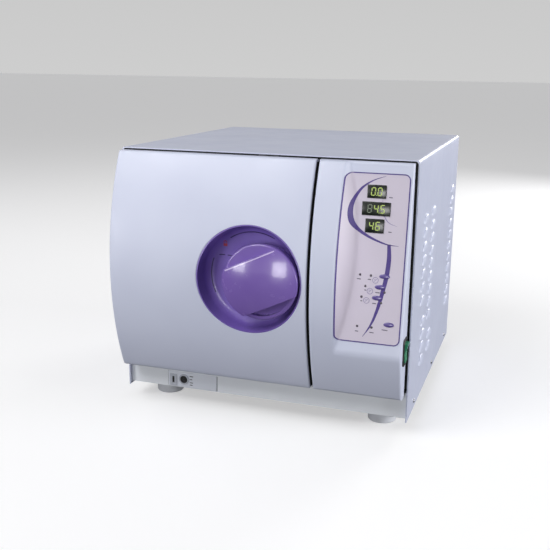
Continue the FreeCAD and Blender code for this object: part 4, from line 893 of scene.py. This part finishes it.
def painted_highlight_strip():
    """Thin pale strip along the band's upper edge: a painted highlight where the edge would catch the
    light.
    """
    turn, rise, half = math.radians(KNOB_TURN), KNOB_BAND - 2.2, 43.5
    edge = []
    for k in range(21):
        along = -half + 2 * half * k / 20
        edge.append((KNOB_X + along * math.cos(turn) - rise * math.sin(turn),
                     KNOB_Z + along * math.sin(turn) + rise * math.cos(turn), 1.7))
    strip = ribbon("painted_highlight_edge", edge)
    for vertex in strip.data.vertices:
        r = math.hypot(vertex.co.x * 1000 - KNOB_X, vertex.co.z * 1000 - DROP - KNOB_Z)
        vertex.co.y = at(0, dome_y(r) - 0.2, 0).y
    outward(strip)
    return modify(strip, "SOLIDIFY", thickness=mm(0.25), offset=-1)


class AUTOCLAVE_OT_knob(bpy.types.Operator):
    """Round lock knob: skirt with a finger pocket, and a domed grip band across it"""
    bl_idname = "autoclave.knob"
    bl_label = "Lock knob"

    def execute(self, context):
        # pale strip on the band's upper edge: a painted highlight
        finish_piece(painted_highlight_strip(), MAT["knob_edge"], "knob", "purple_knob")
        finish_piece(joined(knob_skirt(), grip_band()), MAT["knob"], "knob", "purple_knob",
                     "door_knob", angle=24)
        return {"FINISHED"}


def fascia_columns(z):
    """X places across the fascia at height z, crowded round the recess's two edges."""
    depth = max(float(panel_y(z) - arc_y(z)), 0.0)
    edge = float(recess_left(z))
    fold = edge + max(RECESS_SLOPE * depth, 1.2)
    near = np.array([-6.0, -3.6, -2.2, -1.2, -0.4, 0.4])
    left = np.concatenate([np.linspace(FASCIA_X0, edge - 8, 5), edge + near])
    share = np.array([0.1, 0.2, 0.32, 0.45, 0.58, 0.7, 0.8, 0.88, 0.94, 1.0])
    wall = (edge + 0.4) + (fold - edge - 0.4) * share
    right = fold + np.array([0.6, 1.4, 2.4, 3.6, 5.2])
    return np.concatenate([left, wall, right, np.linspace(right[-1] + 3, FASCIA_X1, 10)])


def fascia_skin(name, columns_at, z_values, lift_mm=0.0):
    """Grid laid over the fascia's front; columns_at gives the x places of one row."""
    count = len(columns_at(z_values[0]))
    obj = begin(name, bpy.ops.mesh.primitive_grid_add, x_subdivisions=count - 1,
                y_subdivisions=len(z_values) - 1, size=1)
    for row, z in enumerate(z_values):
        xs = columns_at(z)
        ys = fascia_y(xs, z)
        for col in range(count):
            obj.data.vertices[row * count + col].co = at(xs[col], ys[col] - lift_mm, z)
    return obj


class AUTOCLAVE_OT_fascia(bpy.types.Operator):
    """Right-hand moulding with the tilted recess for the controls"""
    bl_idname = "autoclave.fascia"
    bl_label = "Fascia"

    def execute(self, context):
        rows = np.unique(np.concatenate([np.linspace(FRONT_Z0, FRONT_Z1, 96),
                                         np.linspace(108, 130, 16)]))
        skin = fascia_skin("fascia_shell", fascia_columns, rows)
        pull_back(skin, FRONT_BACK)
        outward(skin)

        def on_edge(a, b):
            back = at(0, FRONT_BACK, 0).y * 1000 - 0.5
            if a.y > back or b.y > back:
                return False
            return any(abs(p - w) < 0.02 and abs(q - w) < 0.02 for p, q, w in (
                (a.x, b.x, FASCIA_X0), (a.x, b.x, FASCIA_X1),
                (a.z - DROP, b.z - DROP, FRONT_Z0), (a.z - DROP, b.z - DROP, FRONT_Z1)))
        choose(skin, on_edge, "EDGE")
        bpy.ops.mesh.bevel(offset=sizes().edge_round, segments=4, affect="EDGES",
                           clamp_overlap=True)
        leave()
        modify(skin, "SOLIDIFY", thickness=sizes().wall, offset=-1)
        x, y, z = ROCKER
        cut(skin, block("opening", FASCIA_X1 - 8, FASCIA_X1 + 5, y - 11.5, y + 11.5, z - 19, z + 19))
        finish_piece(skin, MAT["abs"], "frame", "shell_plastic", "fascia")
        # black strip on the fascia's seam wall: painted shade in the gap
        seam_shade_strip("fascia_seam_shade", FASCIA_X0 - 0.3, "frame")
        return {"FINISHED"}


def label_edges(z, inset=0.0):
    """Left and right X of the label's outline at height z, its corners rounded."""
    near = min(z - LABEL_Z0, LABEL_Z1 - z) - inset
    r = LABEL_ROUND - inset
    pull = r - math.sqrt(max(r ** 2 - max(r - near, 0.0) ** 2, 0.0)) + inset
    return float(recess_left(z)) + 1.2 + pull, LABEL_X1 - pull


class AUTOCLAVE_OT_label(bpy.types.Operator):
    """Printed control label over the recess, with its border line"""
    bl_idname = "autoclave.label"
    bl_label = "Control label"

    def execute(self, context):
        def columns(z):
            depth = max(float(panel_y(z) - arc_y(z)), 0.0)
            fold = float(recess_left(z)) + RECESS_SLOPE * depth
            a, b = label_edges(z)
            bend = max(fold - 3.0, a + 2)
            return np.concatenate([np.linspace(a, bend, 8)[:-1], np.linspace(bend, fold + 5, 10)[:-1],
                                   np.linspace(fold + 5, b, 10)])
        rows = np.unique(np.concatenate([
            np.linspace(LABEL_Z0, LABEL_Z0 + 9, 10), np.linspace(LABEL_Z1 - 9, LABEL_Z1, 10),
            np.linspace(LABEL_Z0 + 9, LABEL_Z1 - 9, 70)]))
        label = fascia_skin("control_label", columns, rows, 0.5)
        outward(label)
        modify(label, "SOLIDIFY", thickness=mm(0.4), offset=-1)
        finish_piece(label, MAT["label"], "frame", "overlay_print", "panel_overlay")
        finish_piece(laid(ribbon("label_border", border_points(), closed=True)), MAT["ink"], "frame",
                     "overlay_print")
        return {"FINISHED"}


def border_points(width=1.7):
    """Points round the label, half a line's width in from its outline."""
    inset, count = 0.6, 60
    heights = [LABEL_Z0 + inset + (LABEL_Z1 - LABEL_Z0 - 2 * inset) * (0.5 - 0.5 * math.cos(
        math.pi * k / (count - 1))) for k in range(count)]
    left = [(label_edges(z, inset)[0], z, width) for z in heights]
    right = [(label_edges(z, inset)[1], z, width) for z in reversed(heights)]
    across = [k / 8 for k in range(1, 8)]
    top = [(left[-1][0] + (right[0][0] - left[-1][0]) * t, left[-1][1], width) for t in across]
    low = [(right[-1][0] + (left[0][0] - right[-1][0]) * t, right[-1][1], width) for t in across]
    return left + top + right + low


def smooth_path(points, closed, steps=6):
    """Points on a smooth line through (x, z, width) points."""
    pts = np.array(points, float)
    n = len(pts)
    spans = n if closed else n - 1
    result = []
    for k in range(spans):
        p = [pts[(k + d) % n] if closed else pts[min(max(k + d, 0), n - 1)] for d in (-1, 0, 1, 2)]
        for t in np.linspace(0, 1, steps, endpoint=False):
            result.append(0.5 * (2 * p[1] + (p[2] - p[0]) * t
                                 + (2 * p[0] - 5 * p[1] + 4 * p[2] - p[3]) * t ** 2
                                 + (3 * p[1] - p[0] - 3 * p[2] + p[3]) * t ** 3))
    if not closed:
        result.append(pts[-1])
    return np.array(result)


def ribbon(name, points, closed=False, taper=True):
    """Flat printed line through (x, z, width) points, drawn in X and Z at y = 0."""
    path = smooth_path(points, closed)
    count = len(path)
    obj = begin(name, bpy.ops.mesh.primitive_grid_add, x_subdivisions=2,
                y_subdivisions=count if closed else count - 1, size=1)
    step = np.roll(path, -1, 0) - np.roll(path, 1, 0)
    if not closed:
        step[0], step[-1] = path[1] - path[0], path[-1] - path[-2]
    rows = count + 1 if closed else count
    for row in range(rows):
        x, z, width = path[row % count]
        dx, dz = step[row % count][:2] / max(np.hypot(*step[row % count][:2]), 1e-9)
        for col, side in enumerate((-0.5, 0.0, 0.5)):
            obj.data.vertices[row * 3 + col].co = at(x - dz * side * width, 0, z + dx * side * width)
    return obj


def laid(line, lift=0.62, thick=0.12):
    """Lay a flat line on the fascia's front and give it its thickness."""
    for vertex in line.data.vertices:
        x, z = vertex.co.x * 1000, vertex.co.z * 1000 - DROP
        vertex.co.y = at(0, float(fascia_y(x, z)) - lift, 0).y
    outward(line)
    return modify(line, "SOLIDIFY", thickness=mm(thick), offset=-1)


class AUTOCLAVE_OT_prints(bpy.types.Operator):
    """Printed swoosh, rings and marks on the control label"""
    bl_idname = "autoclave.prints"
    bl_label = "Label prints"

    def execute(self, context):
        swoosh = [(195.5, 387, 0.4), (177, 380, 1.6), (161, 368.5, 3.4), (150.5, 352, 5.2),
                  (147.4, 337, 6.4), (149.5, 322, 6.6), (156.5, 310.5, 5.6), (168.2, 302.0, 4.4),
                  (184, 294.5, 3.2), (203.7, 288.3, 1.8), (221, 287.0, 0.4)]
        stem = [(206.7, 288.6, 5.2), (208.2, 268.9, 6.4), (207.4, 252, 6.8), (205.8, 237.7, 6.6),
                (202.2, 218.9, 6.0), (197.4, 197, 5.0), (191.0, 176, 3.6), (184.5, 162, 2.2),
                (176.0, 148.6, 0.4)]
        finish_piece(joined(laid(ribbon("print_swoosh", swoosh)), laid(ribbon("print_stem", stem))),
                     MAT["ink"], "frame", "overlay_print")
        thin = [(193.0, 353.0, 0.4), (194.4, 340.0, 0.9), (198.0, 327.5, 1.1), (205.0, 319.5, 1.0),
                (216.5, 315.6, 0.3)]
        fine = [laid(ribbon("print_curve", thin))]
        for x, z in ((190.2, 234.6), (182.9, 217.8), (178.6, 203.6)):
            ring = [(x + 4.3 * math.cos(a), z + 4.3 * math.sin(a), 0.75)
                    for a in (math.pi * k / 5 for k in range(10))]
            fine.append(laid(ribbon("ring", ring, closed=True)))
            fine.append(laid(ribbon("bar", [(x - 2.0, z - 1.8, 0.7), (x + 2.0, z + 1.8, 0.7)])))
            fine.append(laid(ribbon("bar", [(x - 2.2, z + 1.2, 0.6), (x, z + 1.8, 0.6)])))
        finish_piece(joined(*fine), MAT["fine_ink"], "frame", "overlay_print")
        ticks = []
        for x, z, w in ((204.7, 356.8, 5.5), (206.8, 306.8, 5), (165.2, 234.8, 6), (181.1, 235.2, 5),
                        (166.7, 156.5, 5), (189.6, 156.5, 6.5), (208.9, 162.2, 9), (176, 219, 3),
                        (171, 202.5, 3), (194.5, 216.8, 7), (190.6, 200.3, 6)):
            ticks.append(laid(ribbon("tick", [(x - w / 2, z, 1.3), (x, z - 0.15, 1.5),
                                              (x + w / 2, z - 0.3, 1.3)])))
        finish_piece(joined(*ticks), MAT["tick_ink"], "frame", "overlay_print")
        return {"FINISHED"}


SEGMENTS = {"0": "abcdef", "4": "bcfg", "5": "acdfg", "6": "acdefg", "8": "abcdefg"}


def digit(char, x, z, h):
    """Seven-segment digit centred at (x, z), as (x, z, width, height) bars."""
    w, t, lean = h * 0.5, h * 0.13, 0.1
    places = {"a": (0, h / 2, 1), "g": (0, 0, 1), "d": (0, -h / 2, 1), "f": (-w / 2, h / 4, 0),
              "b": (w / 2, h / 4, 0), "e": (-w / 2, -h / 4, 0), "c": (w / 2, -h / 4, 0)}
    bars = []
    for key, (dx, dz, flat) in places.items():
        if key not in SEGMENTS[char]:
            continue
        size = (w * 0.8, t) if flat else (t, h * 0.42)
        bars.append((x + dx + lean * dz, z + dz, *size))
    return bars


class AUTOCLAVE_OT_displays(bpy.types.Operator):
    """Three dark windows with lit seven-segment figures"""
    bl_idname = "autoclave.displays"
    bl_label = "Displays"

    def execute(self, context):
        windows, lit_bars, dim_bars = [], [], []
        for x, z, w, h, text in DISPLAYS:
            pane = block("pane", x - w / 2, x + w / 2, MID_Y - 0.9, MID_Y + 0.3, z - h / 2, z + h / 2,
                         0.6, 2)
            windows.append(on_surface(pane, 0.9))
            figures = [c for c in text if c != "."]
            pitch = min(9.6, w / (len(figures) + 0.4))
            size = h * 0.56
            for k, char in enumerate(figures):
                cx = x + (k - (len(figures) - 1) / 2) * pitch
                dull = text == "84.5" and k == 0
                (dim_bars if dull else lit_bars).extend(digit(char, cx, z, size))
                if text in ("0.0", "84.5") and k == len(figures) - 2:
                    lit_bars.append((cx + pitch / 2, z - size / 2, 1.3, 1.3))
        finish_piece(joined(*windows), MAT["window"], "frame", "display_window", "display_modules")
        for name, bars, key in (("lit_figures", lit_bars, "segment"), ("dim_figures", dim_bars, "dim")):
            pieces = [on_surface(block(name, bx - bw / 2, bx + bw / 2, MID_Y - 0.25, MID_Y + 0.1,
                                       bz - bh / 2, bz + bh / 2, 0.12, 1), 1.9)
                      for bx, bz, bw, bh in bars]
            finish_piece(joined(*pieces), MAT[key], "frame", "display_window")
        return {"FINISHED"}


class AUTOCLAVE_OT_keys(bpy.types.Operator):
    """Four oval keys with softly domed caps, and the indicator lamps"""
    bl_idname = "autoclave.keys"
    bl_label = "Keys and lamps"

    def execute(self, context):
        for k, (x, z) in enumerate(KEYS):
            cap = begin("key_cap_%d" % (k + 1), bpy.ops.mesh.primitive_uv_sphere_add, segments=48,
                        ring_count=24, radius=1, location=at(x, 0, z), rotation=(math.pi / 2, 0, 0))
            cap.scale = (mm(8.0), mm(3.5), mm(2.4))
            baked(cap)
            for vertex in cap.data.vertices:
                depth = vertex.co.y - at(0, 0, 0).y
                vertex.co.y = at(0, float(panel_y(z)), 0).y + math.copysign(
                    mm(1.6) * (abs(depth) / mm(2.4)) ** 0.7, depth) - mm(0.6)
                vertex.co.y += (vertex.co.z - at(0, 0, z).z) * math.tan(TILT)
            stem = bar_y("stem", x, z, 2.4, float(panel_y(z)), float(panel_y(z)) + 9.0, 24)
            finish_piece(joined(cap, stem), MAT["key"], "key_%d_body" % (k + 1), "key_purple",
                         "key_%d" % (k + 1))
        domes = []
        for x, z in LAMPS:
            dome = begin("lamps", bpy.ops.mesh.primitive_uv_sphere_add, segments=20, ring_count=12,
                         radius=mm(LAMP_R), location=at(x, float(panel_y(z)) + 0.3, z))
            domes.append(baked(dome))
        finish_piece(joined(*domes), MAT["lamp"], "frame", "lamp", "indicator_lamps")
        return {"FINISHED"}


class AUTOCLAVE_OT_blanket(bpy.types.Operator):
    """Quilted glass-cloth blanket round the chamber, sewn into soft rings"""
    bl_idname = "autoclave.blanket"
    bl_label = "Insulation blanket"

    def execute(self, context):
        low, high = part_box("insulation_blanket")
        middle_x, middle_z = ((low[k] + high[k]) * 500 for k in (0, 2))
        outer = (high[0] - low[0]) * 500
        y0, y1 = low[1] * 1000 + MID_Y, high[1] * 1000 + MID_Y
        profile, steps = [], QUILT_RINGS * 10
        for k in range(steps + 1):
            puff = abs(math.sin(math.pi * k / 10)) ** 0.5
            end = min(k, steps - k, 3) / 3
            profile.append((outer - 0.3 - 3.2 * (1 - puff) - 1.5 * (1 - end),
                            y0 + (y1 - y0) * k / steps))
        profile += [(BLANKET_IN, y1 - 0.5), (BLANKET_IN, y0 + 0.5), profile[0]]
        tube = spun("insulation_quilt", profile, middle_x, middle_z - DROP, 96)
        finish_piece(tube, MAT["wool"], "frame", "wool", "insulation_blanket")
        return {"FINISHED"}


class AUTOCLAVE_OT_service(bpy.types.Operator):
    """Service plate on the base strip: data port, drain coupling, outlines and marks"""
    bl_idname = "autoclave.service"
    bl_label = "Service plate"

    def execute(self, context):
        x0, x1, z0, z1 = SERVICE
        px, pz, w, h = PORT
        plate = block("service_plate", x0, x1, STRIP_Y - 1.8, STRIP_Y - 0.1, z0, z1, 0.5)
        finish_piece(plate, MAT["plate"], "frame", "shell_plastic", "service_plate")
        port = block("data_port", px - w / 2, px + w / 2, STRIP_Y - 2.8, STRIP_Y - 1.7,
                     pz - h / 2, pz + h / 2, 0.45)
        cut(port, block("slot", px - 2.0, px + 2.0, STRIP_Y - 4, STRIP_Y - 2.0, pz - 5.7, pz + 5.7))
        finish_piece(port, MAT["port"], "frame", "port_grey", "data_port")
        slot = block("port_slot", px - 1.95, px + 1.95, STRIP_Y - 2.3, STRIP_Y - 2.0,
                     pz - 5.65, pz + 5.65, 0.1, 1)
        x, z = DRAIN
        ring = spun("drain_ring", [(6.6, 6.2), (6.6, 4.6), (7.0, 4.1), (8.8, 4.1), (9.2, 4.6),
                                   (9.2, 6.2), (6.6, 6.2)], x, z, 48)
        finish_piece(ring, MAT["port"], "frame", "port_grey")
        core = spun("drain_core", [(0.0, 4.4), (1.6, 4.4), (1.8, 4.7), (1.8, 5.9), (5.6, 5.9),
                                   (5.6, 4.5), (6.5, 4.3), (6.5, 6.2), (0.0, 6.2)], x, z, 48)
        finish_piece(joined(core, slot), MAT["black"], "frame", "black_plastic", "drain_coupling")
        lines = [block("outline", x + dx - 0.4, x + dx + 0.4, STRIP_Y - 0.12, STRIP_Y - 0.02, z0, z1,
                       0.03, 1) for x, dx in ((x0, -0.6), (x1, 0.6))]
        lines += [block("mark", -130.5, -130.5 + w, STRIP_Y - 1.95, STRIP_Y - 1.75, z - 0.6, z + 0.6,
                        0.05, 1) for z, w in ((26.0, 6.5), (20.6, 4.5), (14.8, 6.0), (10.6, 5.0))]
        finish_piece(joined(*lines), MAT["black"], "frame", "shell_plastic")
        return {"FINISHED"}


class AUTOCLAVE_OT_rocker(bpy.types.Operator):
    """Green rocker of the power switch"""
    bl_idname = "autoclave.rocker"
    bl_label = "Power rocker"

    def execute(self, context):
        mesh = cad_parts["power_rocker"].data
        mesh.materials.clear()
        mesh.materials.append(MAT["lens"])
        return {"FINISHED"}


# name, degrees right of the front, degrees up, distance, width and height (metres), power (watts)
LIGHTS = (("key", -32, 45, 3.2, 1.6, 1.6, 58), ("side", 86, 8, 3.0, 1.4, 1.4, 84),
          ("window_left", -37, 5, 3.2, 0.75, 0.85, 21), ("window_right", 6, 4, 3.2, 0.75, 0.85, 23),
          ("strip", -98, 41, 3.0, 2.0, 0.45, 13), ("rim", 158, 20, 3.0, 1.0, 1.0, 34))
AIM_HEIGHT = 0.2        # metres above the floor that the lights look at
WORLD_TONES = ((0.0, 0.1), (0.465, 0.1), (0.485, 0.62), (0.7, 0.5))   # height, strength


def pale_floor():
    """Wide pale floor that takes shadows, throws no light up and isn't mirrored."""
    floor = begin("floor", bpy.ops.mesh.primitive_plane_add, size=FLOOR_SIZE)
    material, tree, shader = start("pale_floor", "#FFFFFF", 0.9, Emission_Strength=FLOOR_GLOW)
    color = sizes().floor_color
    shader.inputs["Base Color"].default_value = (*(c * FLOOR_SHADE for c in color), 1)
    shader.inputs["Emission Color"].default_value = (*color, 1)
    floor.data.materials.append(material)
    floor.visible_diffuse = floor.visible_glossy = False


def studio_world(scene):
    """Plain backdrop in greys, dim below the horizon and pale above it, for reflections only."""
    world = bpy.data.worlds.new("studio")
    scene.world = world
    world.use_nodes = True
    tree = world.node_tree
    height = add(tree, "ShaderNodeSeparateXYZ",
                 Vector=add(tree, "ShaderNodeTexCoord").outputs["Generated"])
    share = add(tree, "ShaderNodeMapRange", {"From Min": -1.0}, Value=height.outputs["Z"])
    ramp = add(tree, "ShaderNodeValToRGB", Fac=share.outputs["Result"])
    tones = ramp.color_ramp.elements
    for place, tone in WORLD_TONES:
        spot = tones.new(place)
        spot.color = (tone, tone, tone, 1)
    tones.remove(tones[0])
    tones.remove(tones[-1])
    tree.links.new(ramp.outputs["Color"], tree.nodes["Background"].inputs["Strength"])
    tree.nodes["Background"].inputs["Color"].default_value = (1, 1, 1, 1)
    world.cycles_visibility.diffuse = False


def studio_light(name, azimuth, elevation, distance, width, height, power):
    """Soft rectangular lamp turned towards the machine."""
    data = bpy.data.lights.new(name, "AREA")
    data.shape, data.size, data.size_y, data.energy = "RECTANGLE", width, height, power
    light = bpy.data.objects.new(name, data)
    bpy.context.scene.collection.objects.link(light)
    a, e = math.radians(azimuth), math.radians(elevation)
    way = Vector((math.sin(a) * math.cos(e), -math.cos(a) * math.cos(e), math.sin(e)))
    light.location = way * distance + Vector((0, 0, AIM_HEIGHT))
    light.rotation_euler = way.to_track_quat("Z", "Y").to_euler()


def camera_shot():
    """Camera in front and to the right, a little above the machine."""
    camera = bpy.data.cameras.new("camera")
    camera.sensor_width, camera.lens = SENSOR_MM, LENS_MM
    shot = bpy.data.objects.new("camera", camera)
    bpy.context.scene.collection.objects.link(shot)
    roll = math.radians(ROLL_DEG)
    right, up = Vector(CAMERA_RIGHT), Vector(CAMERA_UP)
    across = right * math.cos(roll) + up * math.sin(roll)
    upward = up * math.cos(roll) - right * math.sin(roll)
    turn = Matrix((across, upward, across.cross(upward))).transposed().normalized()
    shot.matrix_world = Matrix.Translation(CAMERA_PLACE) @ turn.to_4x4()
    return shot


class AUTOCLAVE_OT_stage(bpy.types.Operator):
    """Pale floor and backdrop, soft lights and the camera"""
    bl_idname = "autoclave.stage"
    bl_label = "Stage"

    def execute(self, context):
        pale_floor()
        studio_world(context.scene)
        context.scene.view_settings.view_transform = "Standard"
        for light in LIGHTS:
            studio_light(*light)
        context.scene.camera = camera_shot()
        return {"FINISHED"}


STEPS = (AUTOCLAVE_OT_frame_finish, AUTOCLAVE_OT_cover, AUTOCLAVE_OT_door_shell,
         AUTOCLAVE_OT_handle_well, AUTOCLAVE_OT_knob, AUTOCLAVE_OT_fascia, AUTOCLAVE_OT_label,
         AUTOCLAVE_OT_prints, AUTOCLAVE_OT_displays, AUTOCLAVE_OT_keys, AUTOCLAVE_OT_blanket,
         AUTOCLAVE_OT_service, AUTOCLAVE_OT_rocker, AUTOCLAVE_OT_stage)


class AUTOCLAVE_PT_panel(bpy.types.Panel):
    """Sidebar list of the building steps"""
    bl_idname = "AUTOCLAVE_PT_panel"
    bl_label = "Autoclave"
    bl_space_type = "VIEW_3D"
    bl_region_type = "UI"
    bl_category = "Autoclave"

    def draw(self, context):
        settings = context.scene.autoclave_sizes
        for key in ("edge_round", "wall", "floor_color"):
            self.layout.prop(settings, key)
        for step in STEPS:
            self.layout.operator(step.bl_idname)


def register():
    for cls in (AutoclaveSizes, *STEPS, AUTOCLAVE_PT_panel):
        bpy.utils.register_class(cls)
    bpy.types.Scene.autoclave_sizes = bpy.props.PointerProperty(type=AutoclaveSizes)


def unregister():
    del bpy.types.Scene.autoclave_sizes
    for cls in reversed((AutoclaveSizes, *STEPS, AUTOCLAVE_PT_panel)):
        bpy.utils.unregister_class(cls)


def main():
    register()
    for step in STEPS:
        group, name = step.bl_idname.split(".")
        getattr(getattr(bpy.ops, group), name)()
    clear_choice()
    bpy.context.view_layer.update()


if __name__ == "__main__":
    main()
